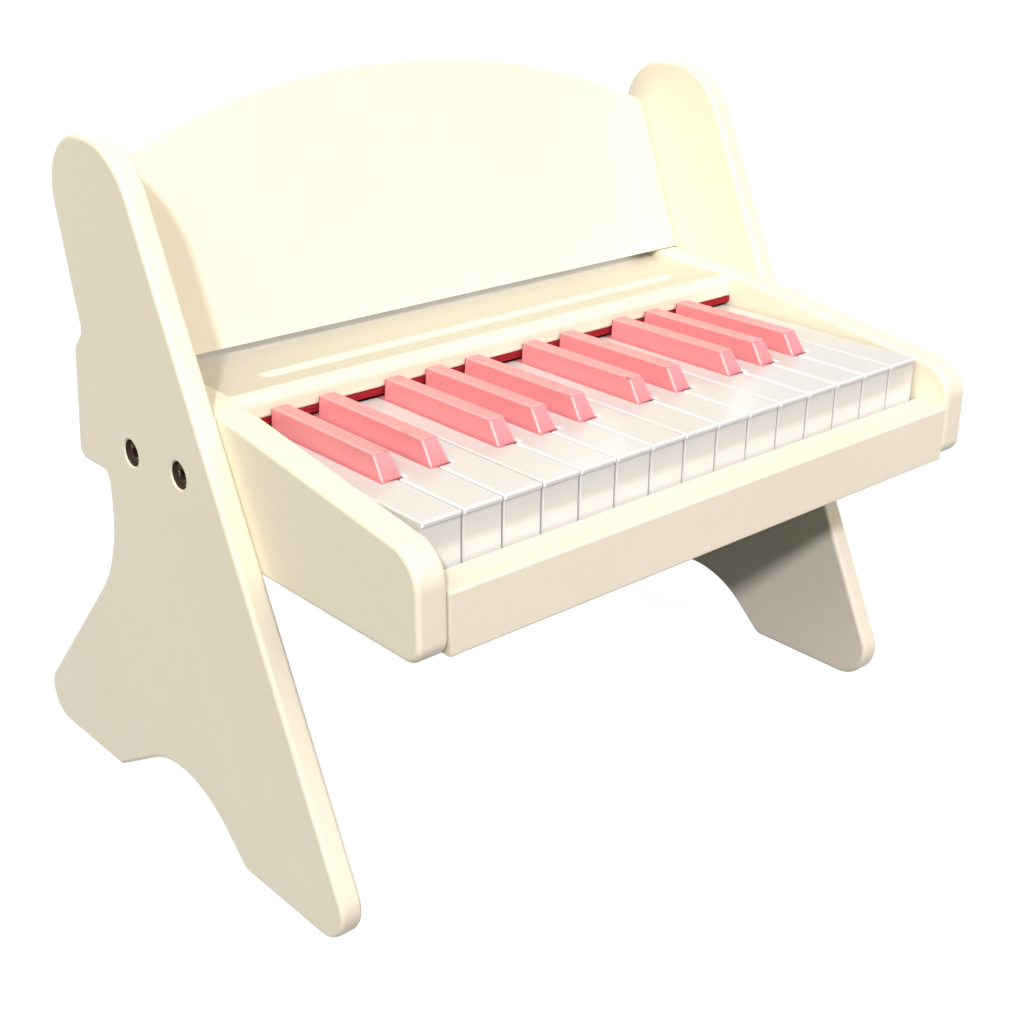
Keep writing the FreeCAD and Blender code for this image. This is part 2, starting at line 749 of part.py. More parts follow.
def make_pivot():
    """The pivot rod between the cheeks, the rail below it, and thin forked brackets that carry the rod."""
    rod_half = cheek_inner - dim.rod_end_gap
    rod = cylinder("pivot_rod", (-rod_half, y_at(dim.pivot_reach), pivot_height), (1, 0, 0),
                   "sizes.rod_diameter / 2", "%.9f mm" % (2 * rod_half))
    rod.Label = "pivot_rod"
    finish(rod)
    rail_front = y_at(dim.pivot_reach) - dim.pivot_rail_depth / 2
    rail_high = key_top - dim.key_height - dim.pivot_rail_gap
    rail = block("PivotRailStock", (-cheek_inner, rail_front, base_top), "%.9f mm" % (2 * cheek_inner),
                 "sizes.pivot_rail_depth", "%.9f mm" % (rail_high - base_top))
    brackets = []
    slots = []
    half = dim.bracket_width / 2
    seat = rail_high - dim.bracket_seat
    for number, place in enumerate(run_edges(), 1):
        left = place - dim.bracket_thickness / 2
        corners = [
            (-half, seat - pivot_height),
            (half, seat - pivot_height),
            (half, half),
            (-half, half),
        ]
        bracket = add_body("Bracket%d" % number, FreeCAD.Vector(left, y_at(dim.pivot_reach), pivot_height))
        pad(bracket, "YZ_Plane", "Plate%d" % number, polygon(corners), 0, "sizes.bracket_thickness")
        pocket(bracket, "YZ_Plane", "BracketFork%d" % number, rod_slot(half + dim.overrun), 0,
               "sizes.bracket_thickness")
        brackets.append(bracket)
        slots.append(block("BracketSlot%d" % number, (left, y_at(dim.pivot_reach) - half, seat),
                           "sizes.bracket_thickness", "sizes.bracket_width", "sizes.bracket_seat"))
    finish(joined("Part::Cut", "pivot_rail", rail, gathered("BracketSlots", slots)))
    finish(gathered("pivot_brackets", brackets))


def strip_between(label, reach, depth, low, high):
    """A square strip between the cheeks, from this reach and as deep as the expression says."""
    return finish(block(label, (-cheek_inner, y_at(reach), low), "%.9f mm" % (2 * cheek_inner), depth,
                        "%.9f mm" % (high - low)))


def make_stops():
    """The felted rail that stops the pressed keys and the felted rail under the resting tails."""
    stop_reach = key_front_reach + dim.stop_setback
    arm = dim.pivot_reach - stop_reach
    key_bottom = key_top - dim.key_height
    below = pivot_height - key_bottom
    stop_top = pivot_height - arm * math.sin(key_turn) - below * math.cos(key_turn) - dim.rest_clearance
    strip_between("stop_rail", stop_reach, "sizes.stop_depth", base_top, stop_top - dim.stop_felt_thickness)
    strip_between("stop_felt", stop_reach, "sizes.stop_depth", stop_top - dim.stop_felt_thickness, stop_top)
    rest_reach = dim.pivot_reach + dim.tail_length - dim.rest_depth
    rest_top = pivot_height - dim.lever_height / 2 - dim.rest_clearance
    strip_between("rest_rail", rest_reach, "sizes.rest_depth", base_top, rest_top - dim.rest_felt_thickness)
    strip_between("rest_felt", rest_reach, "sizes.rest_depth", rest_top - dim.rest_felt_thickness, rest_top)


def make_tone_bars():
    """Graded tone bars clamped along one edge against felted rails on the underside of the shelf."""
    rail_low = shelf_bottom - dim.bar_rail_height
    felt_low = rail_low - dim.bar_felt_thickness
    bars = []
    slots = key_slots()
    for index, (centre, white) in enumerate(slots):
        step_share = index / (len(slots) - 1)
        length = dim.bar_longest + (dim.bar_shortest - dim.bar_longest) * step_share
        corner = (centre - dim.bar_width / 2, y_at(hammer_reach) - length / 2, bar_bottom)
        bar_length = "%.9f mm" % length
        bars.append(block("Bar%d" % index, corner, "sizes.bar_width", bar_length, "sizes.bar_thickness"))
    depth = "sizes.bar_rail_depth"
    front, rear = [middle - dim.bar_rail_depth / 2 for middle in bar_rail_reaches]
    for name, reach in (("front", front), ("rear", rear)):
        strip_between(name + "_bar_rail", reach, depth, rail_low, shelf_bottom)
        strip_between(name + "_bar_felt", reach, depth, felt_low, rail_low)
    strip_between("bar_clamp", rear, depth, bar_bottom - dim.bar_clamp_thickness, bar_bottom)
    finish(gathered("tone_bars", bars))


def make_bolts():
    """Socket-head bolts through the legs, with nuts let into the cheeks."""
    bolts = []
    nuts = []
    shank_length = dim.leg_thickness - dim.recess_depth + dim.cheek_thickness
    for side in (-1, 1):
        outward = (side, 0, 0)
        turn = FreeCAD.Rotation(FreeCAD.Vector(0, 0, 1), FreeCAD.Vector(*outward))
        seat = side * (leg_outer - dim.recess_depth)
        for number, (across, up) in enumerate(bolt_places()):
            tag = "%s%d" % ("Left" if side < 0 else "Right", number)
            head = cylinder("BoltHead" + tag, (seat, across, up), outward, "sizes.bolt_head_diameter / 2",
                            "sizes.bolt_head_height")
            shank = cylinder("BoltShank" + tag, (seat, across, up), (-side, 0, 0), "sizes.bolt_diameter / 2",
                             "%.9f mm" % shank_length)
            socket = doc.addObject("Part::Prism", "BoltSocket" + tag)
            socket.Polygon = HEX_SIDE_COUNT
            socket.setExpression("Circumradius", "sizes.socket_width / sqrt(3)")
            socket.setExpression("Height", "sizes.socket_depth + sizes.overrun")
            floor = seat + side * (dim.bolt_head_height - dim.socket_depth)
            socket.Placement = FreeCAD.Placement(FreeCAD.Vector(floor, across, up), turn)
            solid = joined("Part::Fuse", "BoltSolid" + tag, head, shank)
            bolts.append(joined("Part::Cut", "Bolt" + tag, solid, socket))
            nut_start = min(side * cheek_inner, side * (cheek_inner + dim.nut_thickness))
            nut = add_body("Nut" + tag, FreeCAD.Vector(nut_start, 0, 0))
            pad(nut, "YZ_Plane", "NutStock" + tag, hexagon(across, up, nut_reach), 0, "sizes.nut_thickness")
            thread = circle(across, up, dim.bolt_diameter / 2 + dim.running_clearance)
            pocket(nut, "YZ_Plane", "NutBore" + tag, thread, 0, "sizes.nut_thickness")
            nuts.append(nut)
    finish(gathered("leg_bolts", bolts))
    finish(gathered("leg_nuts", nuts))


def make_box():
    """Base, back and the red felt under the front of the shelf."""
    base_depth = "%.9f mm" % (cheek_reach - dim.rail_thickness)
    strip_between("base_board", dim.rail_thickness, base_depth, box_lift, base_top)
    strip_between("back_board", back_reach, "sizes.back_thickness", base_top, shelf_bottom)
    strip_between("felt_strip", shelf_front_reach, "sizes.felt_depth", felt_bottom, shelf_bottom)


def check_document():
    """Stop if any object failed or any sub-part is empty or invalid."""
    doc.recompute()
    for item in doc.Objects:
        if "Invalid" in item.State or "Error" in item.State:
            raise RuntimeError("failed: " + item.Label)
    for node in nodes:
        if node.Shape.isNull() or not node.Shape.isValid():
            raise RuntimeError("bad shape: " + node.Label)


make_leg("left_leg", -1)
make_leg("right_leg", 1)
make_cheek("left_cheek", -1)
make_cheek("right_cheek", 1)
make_front_rail()
make_box()
make_shelf()
make_panel()
make_bolts()
make_pivot()
make_stops()
make_tone_bars()
make_keys()
check_document()

os.makedirs("parts", exist_ok=True)
for node in nodes:
    node.Shape.exportStep("parts/%s.step" % node.Label)
print("sub-parts:", len(nodes))
print("key travel in degrees: %.3f" % math.degrees(key_turn))
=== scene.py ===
import json
import math

import bmesh
import bpy
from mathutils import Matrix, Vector, noise


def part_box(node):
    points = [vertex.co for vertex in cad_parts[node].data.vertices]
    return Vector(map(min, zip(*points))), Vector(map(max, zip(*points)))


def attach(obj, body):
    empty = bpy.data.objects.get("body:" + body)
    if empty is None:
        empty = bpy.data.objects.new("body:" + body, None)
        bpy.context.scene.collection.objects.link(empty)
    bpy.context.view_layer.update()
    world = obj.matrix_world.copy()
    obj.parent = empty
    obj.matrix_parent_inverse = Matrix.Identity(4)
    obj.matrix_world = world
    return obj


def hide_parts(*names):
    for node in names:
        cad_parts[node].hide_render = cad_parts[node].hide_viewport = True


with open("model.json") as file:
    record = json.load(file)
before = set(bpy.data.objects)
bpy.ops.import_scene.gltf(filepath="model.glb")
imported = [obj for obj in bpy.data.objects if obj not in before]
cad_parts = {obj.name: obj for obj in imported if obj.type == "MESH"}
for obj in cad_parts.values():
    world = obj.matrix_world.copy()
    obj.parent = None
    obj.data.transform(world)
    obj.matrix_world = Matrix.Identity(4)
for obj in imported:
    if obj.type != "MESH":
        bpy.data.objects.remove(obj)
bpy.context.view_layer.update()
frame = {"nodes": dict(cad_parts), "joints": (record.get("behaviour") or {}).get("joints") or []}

bl_info = {
    "name": "Toy piano",
    "version": (1, 0, 0),
    "blender": (4, 5, 0),
    "location": "View3D > Sidebar > Toy piano",
    "description": "Dresses the toy piano's frame in painted boards, moulded keys, felt and bolts",
    "category": "Object",
}

MM = 0.001
STILL = "frame"
LEGS = ("left_leg", "right_leg")
CHEEKS = ("left_cheek", "right_cheek")
PLAIN_BOARDS = ("base_board", "back_board")
GREY_FELTS = ("stop_felt", "rest_felt", "front_bar_felt", "rear_bar_felt")
BARE_RAILS = ("pivot_rail", "stop_rail", "rest_rail", "front_bar_rail", "rear_bar_rail", "bar_clamp")
STEEL_PARTS = ("pivot_rod", "pivot_brackets", "leg_nuts")
KEYS = sorted(joint["child"] for joint in frame["joints"])
SHARPS = [key for key in KEYS if key.endswith("_sharp")]
WHITES = [key for key in KEYS if not key.endswith("_sharp")]
WHITE_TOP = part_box(WHITES[0])[1].z

# Points nearer than the first are one point, straight edges are true to the second, flat tops to the third
SAME = 0.001 * MM
TRUE = 0.01 * MM
LEVEL = 0.1 * MM
# Angles in degrees at which faces meet along a chamfer and along a square edge
SLANT = (30, 60)
SQUARE = (60, 120)
# Faces that meet at less than the first angle are made one, and at more than the others keep a crisp edge
WHOLE = math.radians(0.3)
CRISP = math.radians(35)
BOLT_CRISP = math.radians(30)
# Share of a face's normal that points up on the shelf's flat top, and forwards on a key's front
FLAT_TOP = 0.999
FLAT_FRONT = 0.99
# From a bolt's axis: the board is bare and darkened as painted shade within the first, and edges are rounded
# beyond the second
RECESS = 7.2 * MM
CLEAR_OF_BOLT = 9 * MM
# All points of a bolt lie within this distance of its axis
BOLT_REACH = 12 * MM
SHANK_SIDES = 24
# The groove lies this far inside the shelf's edges
GROOVE_MARGIN = 10 * MM
# On a white key: depth below its top of the edges round it, and how far its front corners and front lie back
CREST_DEPTH = 2 * MM
CORNER_DEPTH = 1.5 * MM
FRONT_DEPTH = 2 * MM
# On a sharp: height of its bevel above the white keys, at least, and how far its sloping front reaches back
BEVEL_RISE = 5 * MM
SLOPE_REACH = 9 * MM
# Depths below a sharp's top where rub marks start and are full, and distances from its front where they fade out
SCUFF_DEPTHS = (1.6 * MM, 0.2 * MM)
SCUFF_REACHES = (8 * MM, 34 * MM)
# A rounded edge of a key is a face smaller than this whose normal keeps below this share along any axis
EDGE_AREA = 25 * MM * MM
EDGE_TILT = 0.985
# Felt: steps round a corner, fewest rings, the rings' spacing seen and hidden, and the nap's waves to the metre
FELT_CORNER_STEPS = 3
FELT_LEAST_RINGS = 8
SEEN_RING = 0.9 * MM
HIDDEN_RING = 3 * MM
NAP_WAVES = 900
NAP_SEED = 1

# Where each soft light stands and how wide it is; all of them face one point in the piano
SOFT_LIGHTS = {
    "top": ((0.0, -0.2, 2.6), 3.0),
    "front": ((0.2, -2.2, 1.9), 2.2),
    "left": ((-2.2, -0.5, 1.9), 2.2),
    "back": ((1.4, 2.3, 1.5), 2.2),
}
LIGHT_AIM = Vector((0, 0, 0.2))
FLOOR_SIDES = 96

# What like settings share
COLOUR = {"subtype": "COLOR", "size": 3, "min": 0, "soft_max": 1}
LENGTH = {"unit": "LENGTH", "min": 0}
POWER = {"unit": "POWER", "min": 0}


class BoardSettings(bpy.types.PropertyGroup):
    """Painted boards: legs, cheeks, rail, shelf, panel, base and back."""

    paint: bpy.props.FloatVectorProperty(
        name="Paint", description="Colour of the cream paint", default=(0.865, 0.81, 0.64), **COLOUR)
    shade: bpy.props.FloatVectorProperty(
        name="Paint shade", description="Colour that the paint drifts to in broad patches",
        default=(0.84, 0.775, 0.60), **COLOUR)
    # Painted shade: the shelf's flat top gets the cream paint at this share of its brightness
    shelf_shade_tone: bpy.props.FloatProperty(
        name="Shelf tone", description="How light the shelf's top is beside the other boards'", default=0.72,
        min=0, max=1, subtype="FACTOR")
    # Bare board inside the recesses, darkened far beyond its own brown as painted shade
    bare: bpy.props.FloatVectorProperty(
        name="Bare board", description="Colour of the board inside the bolt recesses",
        default=(0.07, 0.04, 0.022), **COLOUR)
    chamfer_round: bpy.props.FloatProperty(
        name="Chamfer rounding", description="How far each edge of a chamfer is rounded off",
        default=0.95 * MM, **LENGTH)
    cheek_round: bpy.props.FloatProperty(
        name="Cheek rounding", description="Radius of the cheeks' long edges", default=2.6 * MM, **LENGTH)
    groove_round: bpy.props.FloatProperty(
        name="Groove rounding", description="Radius of the lips of the groove in the shelf",
        default=2.4 * MM, **LENGTH)
    nose_radius: bpy.props.FloatProperty(
        name="Nose radius", description="Radius of the rail's upper front edge", default=1.5 * MM, **LENGTH)
    end_round: bpy.props.FloatProperty(
        name="End rounding", description="Radius of square edges on rail, shelf, base and back",
        default=0.5 * MM, **LENGTH)
    peel: bpy.props.FloatProperty(
        name="Paint peel", description="Depth of the sprayed paint's fine ripple", default=0.05 * MM, **LENGTH)


class KeySettings(bpy.types.PropertyGroup):
    """Moulded keys."""

    white: bpy.props.FloatVectorProperty(
        name="White", description="Colour of the white keys", default=(0.67, 0.66, 0.645), **COLOUR)
    # Painted highlight: the light colour painted along the white keys' rounded edges
    white_edge_highlight: bpy.props.FloatVectorProperty(
        name="White edges", description="Colour of the white keys' polished edges",
        default=(0.93, 0.91, 0.89), **COLOUR)
    # Painted shade: the upper part of each front is painted greyer than the top
    white_front_shade: bpy.props.FloatVectorProperty(
        name="White fronts", description="Colour of the upper part of the white keys' fronts",
        default=(0.61, 0.60, 0.57), **COLOUR)
    # Painted reflection: the lower part of each front is painted lighter, as the rail's nose would reflect there
    white_foot_reflection: bpy.props.FloatVectorProperty(
        name="White front feet", description="Colour of the lower part of the white keys' fronts",
        default=(0.73, 0.725, 0.71), **COLOUR)
    # Where the painted reflection low on each front begins below the key's top, and how softly it fades in
    reflection_band: bpy.props.FloatProperty(
        name="Front band", description="How far below a key's top the light band of its front begins",
        default=14.6 * MM, **LENGTH)
    reflection_fade: bpy.props.FloatProperty(
        name="Band fade", description="How far the light band fades to each side of where it begins",
        default=2.5 * MM, **LENGTH)
    crest_round: bpy.props.FloatProperty(
        name="Crest rounding", description="Radius of the edges round a white key's top",
        default=0.3 * MM, **LENGTH)
    upright_round: bpy.props.FloatProperty(
        name="Upright rounding", description="Radius of the upright corners at a white key's front",
        default=0.8 * MM, min=0.01 * MM, unit="LENGTH")
    pink: bpy.props.FloatVectorProperty(
        name="Pink", description="Colour of the sharps", default=(0.81, 0.272, 0.292), **COLOUR)
    # Painted highlight: the light colour painted along the sharps' rounded edges
    pink_edge_highlight: bpy.props.FloatVectorProperty(
        name="Pink edges", description="Colour of the sharps' polished edges",
        default=(0.90, 0.45, 0.45), **COLOUR)
    scuff: bpy.props.FloatVectorProperty(
        name="Scuffs", description="Colour of the rub marks on the sharps", default=(0.35, 0.13, 0.11), **COLOUR)
    bevel_round: bpy.props.FloatProperty(
        name="Bevel rounding", description="How far each edge of a sharp's bevel is rounded off",
        default=0.4 * MM, **LENGTH)
    slope_round: bpy.props.FloatProperty(
        name="Slope rounding", description="Radius of the edges beside a sharp's sloping front",
        default=0.9 * MM, **LENGTH)


class FeltSettings(bpy.types.PropertyGroup):
    """Felt strips."""

    red: bpy.props.FloatVectorProperty(
        name="Red felt", description="Colour of the strip over the keys", default=(0.30, 0.012, 0.02), **COLOUR)
    grey: bpy.props.FloatVectorProperty(
        name="Grey felt", description="Colour of the felts inside", default=(0.11, 0.11, 0.105), **COLOUR)
    corner: bpy.props.FloatProperty(
        name="Corner", description="Radius of a strip's soft corners", default=0.7 * MM, **LENGTH)
    nap: bpy.props.FloatProperty(
        name="Nap", description="How far the felt's surface is uneven", default=0.16 * MM, **LENGTH)


class BoltSettings(bpy.types.PropertyGroup):
    """Bolts that hold the legs."""

    finish: bpy.props.FloatVectorProperty(
        name="Finish", description="Colour of the bolts' dark coating", default=(0.03, 0.017, 0.01), **COLOUR)
    worn: bpy.props.FloatVectorProperty(
        name="Worn", description="Colour of the metal where the coating is rubbed",
        default=(0.62, 0.52, 0.40), **COLOUR)
    ridges: bpy.props.IntProperty(
        name="Ridges", description="Ridges round a bolt's head", default=36, min=12, max=72)
    ridge_depth: bpy.props.FloatProperty(
        name="Ridge depth", description="Depth of the ridges round a head", default=0.22 * MM, **LENGTH)
    socket_width: bpy.props.FloatProperty(
        name="Socket", description="Width across the flats of the socket", default=5.0 * MM, **LENGTH)
    socket_depth: bpy.props.FloatProperty(
        name="Socket depth", description="Depth of the socket", default=3.0 * MM, **LENGTH)
    rim: bpy.props.FloatProperty(
        name="Rim", description="Width of the slope round a head's face", default=0.6 * MM, **LENGTH)


class StageSettings(bpy.types.PropertyGroup):
    """Floor, lights and camera."""

    floor: bpy.props.FloatVectorProperty(
        name="Floor", description="Colour of the floor", default=(0.22, 0.22, 0.22), **COLOUR)
    floor_reach: bpy.props.FloatProperty(
        name="Floor reach", description="Radius of the floor", default=60.0, min=1, unit="LENGTH")
    floor_glow: bpy.props.FloatProperty(
        name="Floor glow", description="Light of the floor's own, which keeps its shadows faint",
        default=0.95, min=0)
    sky: bpy.props.FloatProperty(
        name="Sky", description="Brightness of the plain backdrop beyond the floor", default=1.0, min=0)
    key: bpy.props.FloatProperty(
        name="Key light", description="Strength of the main light", default=2.05, min=0)
    key_colour: bpy.props.FloatVectorProperty(
        name="Key colour", description="Colour of the main light", default=(0.98, 0.93, 1.1), **COLOUR)
    key_from: bpy.props.FloatVectorProperty(
        name="Key direction", description="Direction towards the main light", subtype="DIRECTION", size=3,
        default=(-0.594, -0.582, 0.555))
    key_angle: bpy.props.FloatProperty(
        name="Key softness", description="Angle that the main light spans", default=math.radians(3.5), min=0,
        subtype="ANGLE")
    top: bpy.props.FloatProperty(
        name="Top light", description="Power of the soft light overhead", default=19.0, **POWER)
    top_colour: bpy.props.FloatVectorProperty(
        name="Top colour", description="Colour of the soft light overhead", default=(1.0, 0.99, 0.92), **COLOUR)
    front: bpy.props.FloatProperty(
        name="Front light", description="Power of the soft light in front", default=52.0, **POWER)
    front_colour: bpy.props.FloatVectorProperty(
        name="Front colour", description="Colour of the soft light in front", default=(1.0, 0.925, 0.87), **COLOUR)
    left: bpy.props.FloatProperty(
        name="Left light", description="Power of the soft light at the left", default=38.0, **POWER)
    left_colour: bpy.props.FloatVectorProperty(
        name="Left colour", description="Colour of the soft light at the left", default=(1.0, 1.0, 0.68), **COLOUR)
    back: bpy.props.FloatProperty(
        name="Back light", description="Power of the soft light behind", default=14.0, **POWER)
    back_colour: bpy.props.FloatVectorProperty(
        name="Back colour", description="Colour of the soft light behind", default=(1.0, 0.97, 0.95), **COLOUR)
    lens: bpy.props.FloatProperty(
        name="Lens", description="Focal length in millimetres on a sensor 36 mm wide", default=55.14, min=1)
    camera_place: bpy.props.FloatVectorProperty(
        name="Camera place", description="Where the camera stands", subtype="TRANSLATION", size=3,
        default=(-0.51298, -0.60295, 0.46617))
    camera_turn: bpy.props.FloatVectorProperty(
        name="Camera turn", description="How the camera is turned", subtype="EULER", size=3,
        default=(math.radians(66.6), 0.0, math.radians(-40.96)))


class Value:
    """A shader socket that takes part in arithmetic; each operation adds a Math node."""

    def __init__(self, finish, socket):
        self.finish = finish
        self.socket = socket

    def operate(self, operation, first, second):
        return self.finish.add("ShaderNodeMath", {"operation": operation}, {0: first, 1: second})

    def __add__(self, other):
        return self.operate("ADD", self, other)

    def __radd__(self, other):
        return self.operate("ADD", other, self)

    def __sub__(self, other):
        return self.operate("SUBTRACT", self, other)

    def __rsub__(self, other):
        return self.operate("SUBTRACT", other, self)

    def __mul__(self, other):
        return self.operate("MULTIPLY", self, other)

    def __rmul__(self, other):
        return self.operate("MULTIPLY", other, self)


class Finish:
    """A material that is built node by node on the piece's own coordinates."""

    # Places of a Mix node's sockets when it mixes colours
    SHARE, FIRST, SECOND, MIXED = 0, 6, 7, 2

    def __init__(self, name):
        self.material = bpy.data.materials.new(name)
        self.material.use_nodes = True
        self.tree = self.material.node_tree
        self.tree.nodes.clear()
        self.place = self.add("ShaderNodeTexCoord", output="Object")

    def add(self, kind, settings=None, sockets=None, output=0):
        """Adds a node, makes its settings and then its sockets; gives one of its outputs, if it has any."""
        node = self.tree.nodes.new(kind)
        for name, value in (settings or {}).items():
            setattr(node, name, value)
        for name, value in (sockets or {}).items():
            if isinstance(value, Value):
                self.tree.links.new(value.socket, node.inputs[name])
            else:
                node.inputs[name].default_value = value
        return Value(self, node.outputs[output]) if len(node.outputs) else None

    def along(self, axis):
        """The piece's own coordinate on one axis."""
        return self.add("ShaderNodeSeparateXYZ", sockets={"Vector": self.place}, output=axis)

    def noise(self, scale, detail=2.0, stretch=None, roughness=0.5):
        """Noise from 0 to 1 on the piece's coordinates, at this many waves to the metre."""
        place = self.place
        if stretch:
            place = self.add("ShaderNodeMapping", sockets={"Vector": place, "Scale": stretch})
        return self.add("ShaderNodeTexNoise", sockets={
            "Vector": place, "Scale": scale, "Detail": detail, "Roughness": roughness})

    def attribute(self, name):
        """A number kept with the mesh."""
        return self.add("ShaderNodeAttribute", {"attribute_name": name}, output="Fac")

    def between(self, value, low, high):
        """The value spread over 0 to 1 between two limits, with soft ends."""
        return self.add("ShaderNodeMapRange", {"interpolation_type": "SMOOTHSTEP"}, {
            "Value": value, "From Min": low, "From Max": high})

    def mix(self, share, first, second):
        """A colour between two colours, each a socket or three numbers."""
        first, second = (end if isinstance(end, Value) else (*end, 1) for end in (first, second))
        return self.add("ShaderNodeMix", {"data_type": "RGBA"}, {
            self.SHARE: share, self.FIRST: first, self.SECOND: second}, output=self.MIXED)

    def bump(self, height, depth, strength):
        """A normal from a height of 0 to 1, this deep in metres."""
        return self.add("ShaderNodeBump", sockets={"Height": height, "Distance": depth, "Strength": strength})

    def surface(self, **sockets):
        """The shader and the output; socket names have underscores for spaces."""
        values = {name.replace("_", " "): value for name, value in sockets.items()}
        shader = self.add("ShaderNodeBsdfPrincipled", sockets=values)
        self.add("ShaderNodeOutputMaterial", sockets={"Surface": shader})
        return self.material


def toned(colour, share):
    """A colour at a share of its brightness."""
    return [part * share for part in colour]


def cream_paint(settings, name, tone):
    """Sprayed satin paint: broad drift of tone, faint mottling, fine ripple."""
    finish = Finish(name)
    drift = finish.between(finish.noise(7, 3), 0.35, 0.7)
    colour = finish.mix(drift, toned(settings.paint, tone), toned(settings.shade, tone))
    mottle = finish.between(finish.noise(110, 3), 0.4, 0.75)
    colour = finish.mix(mottle * 0.25, colour, toned(settings.shade, tone * 0.96))
    ripple = finish.noise(520, 2)
    sheen = finish.noise(60, 2)
    return finish.surface(
        Base_Color=colour, Roughness=0.3 + sheen * 0.16, Specular_IOR_Level=0.45,
        Coat_Weight=0.12, Coat_Roughness=0.18,
        Normal=finish.bump(ripple, settings.peel, 0.35))


def bare_board(settings):
    """Cut fibre board inside a recess, darkened far beyond its own brown as painted shade."""
    finish = Finish("bare_board")
    fibre = finish.noise(900, 3, (0.25, 1, 1))
    colour = finish.mix(fibre, settings.bare, toned(settings.bare, 0.45))
    return finish.surface(Base_Color=colour, Roughness=0.9, Normal=finish.bump(fibre, 0.1 * MM, 0.5))


def white_plastic(settings, top):
    """Glossy moulded plastic, faint flow clouds, hairline rubbing along the key; painted shade greys the fronts, a
    painted reflection lightens them low down, painted highlights line the edges.
    """
    finish = Finish("white_plastic")
    cloud = finish.noise(45, 2)
    rub = finish.noise(700, 2, (1, 0.06, 1))
    colour = finish.mix(cloud * 0.5, settings.white, toned(settings.white, 0.94))
    # Painted shade on the fronts, with a painted reflection lightening their lower part
    band = top - settings.reflection_band
    upper = finish.between(finish.along("Z"), band - settings.reflection_fade, band + settings.reflection_fade)
    front = finish.mix(upper, settings.white_foot_reflection, settings.white_front_shade)
    colour = finish.mix(finish.attribute("front"), colour, front)
    # Painted highlight along the rounded edges of the top and the front corners
    colour = finish.mix(finish.attribute("edge") * 0.8, colour, settings.white_edge_highlight)
    return finish.surface(
        Base_Color=colour, Roughness=0.13 + rub * 0.14, Specular_IOR_Level=0.5, IOR=1.5,
        Coat_Weight=0.25, Coat_Roughness=0.06, Subsurface_Weight=0.06, Subsurface_Scale=1.5 * MM,
        Normal=finish.bump(rub, 0.02 * MM, 0.25))


def pink_plastic(settings, top, front):
    """Glossy pink plastic, rubbed and marked where fingers meet the front of each top."""
    finish = Finish("pink_plastic")
    upper = finish.between(finish.along("Z"), *(top - depth for depth in SCUFF_DEPTHS))
    fronts = 1 - finish.between(finish.along("Y"), *(front + reach for reach in SCUFF_REACHES))
    marks = finish.between(finish.noise(260, 4, (1, 0.35, 1), 0.65), 0.57, 0.66)
    cloud = finish.noise(60, 2)
    colour = finish.mix(cloud * 0.5, settings.pink, toned(settings.pink, 0.93))
    # Painted highlight along the sharps' rounded edges
    colour = finish.mix(finish.attribute("edge") * 0.6, colour, settings.pink_edge_highlight)
    colour = finish.mix(upper * fronts * marks * 0.7, colour, settings.scuff)
    rub = finish.noise(700, 2, (1, 0.06, 1))
    return finish.surface(
        Base_Color=colour, Roughness=0.24 + rub * 0.16, Specular_IOR_Level=0.5, Coat_Weight=0.15,
        Coat_Roughness=0.12, Subsurface_Weight=0.05, Subsurface_Scale=1.2 * MM,
        Normal=finish.bump(rub, 0.02 * MM, 0.3))


def felt(name, colour):
    """Pressed felt: matted fibres, lighter where they catch the light."""
    finish = Finish(name)
    fibres = finish.noise(1500, 4, roughness=0.7)
    clump = finish.noise(240, 3)
    tone = finish.mix(finish.between(fibres, 0.3, 0.75), toned(colour, 0.55),
                      [min(1, part * 1.5 + 0.01) for part in colour])
    tone = finish.mix(clump * 0.4, tone, toned(colour, 0.7))
    return finish.surface(
        Base_Color=tone, Roughness=1.0, Specular_IOR_Level=0.1, Sheen_Weight=0.5, Sheen_Roughness=0.5,
        Sheen_Tint=(*[min(1, part * 2) for part in colour], 1),
        Normal=finish.bump(fibres + clump, 0.25 * MM, 0.8))


def metal(name, colour, roughness, stretch):
    """Worked metal with fine lines along one direction."""
    finish = Finish(name)
    lines = finish.noise(900, 3, stretch)
    tone = finish.mix(lines, colour, toned(colour, 0.8))
    return finish.surface(
        Base_Color=tone, Metallic=1.0, Roughness=roughness + lines * 0.15,
        Normal=finish.bump(lines, 0.01 * MM, 0.3))


def bolt_coat(settings):
    """Dark oxide on a bolt, worn to bare metal in small rubbed spots."""
    finish = Finish("black_bolt")
    grit = finish.noise(1300, 3)
    worn = finish.between(finish.noise(560, 3, roughness=0.6), 0.6, 0.68)
    tone = finish.mix(grit * 0.6, settings.finish, toned(settings.finish, 0.5))
    tone = finish.mix(worn * 0.7, tone, settings.worn)
    return finish.surface(
        Base_Color=tone, Metallic=worn * 0.8, Roughness=0.5 - worn * 0.22, Specular_IOR_Level=0.2,
        Normal=finish.bump(grit, 0.03 * MM, 0.4))


def bare_wood():
    """Sawn wood with grain along the keyboard."""
    finish = Finish("bare_wood")
    grain = finish.noise(160, 4, (0.05, 1, 1), 0.6)
    pores = finish.noise(1400, 2, (0.03, 1, 1))
    colour = finish.mix(finish.between(grain, 0.35, 0.7), (0.56, 0.36, 0.19), (0.38, 0.21, 0.1))
    colour = finish.mix(finish.between(pores, 0.6, 0.72) * 0.5, colour, (0.2, 0.1, 0.05))
    return finish.surface(Base_Color=colour, Roughness=0.75, Normal=finish.bump(grain + pores, 0.05 * MM, 0.5))


def floor_paper(settings):
    """Plain pale paper under the piano."""
    finish = Finish("floor_paper")
    fleck = finish.noise(90, 3)
    colour = finish.mix(fleck * 0.3, settings.floor, toned(settings.floor, 0.985))
    return finish.surface(
        Base_Color=colour, Roughness=0.95, Specular_IOR_Level=0.1,
        Emission_Color=(1, 1, 1, 1), Emission_Strength=settings.floor_glow)


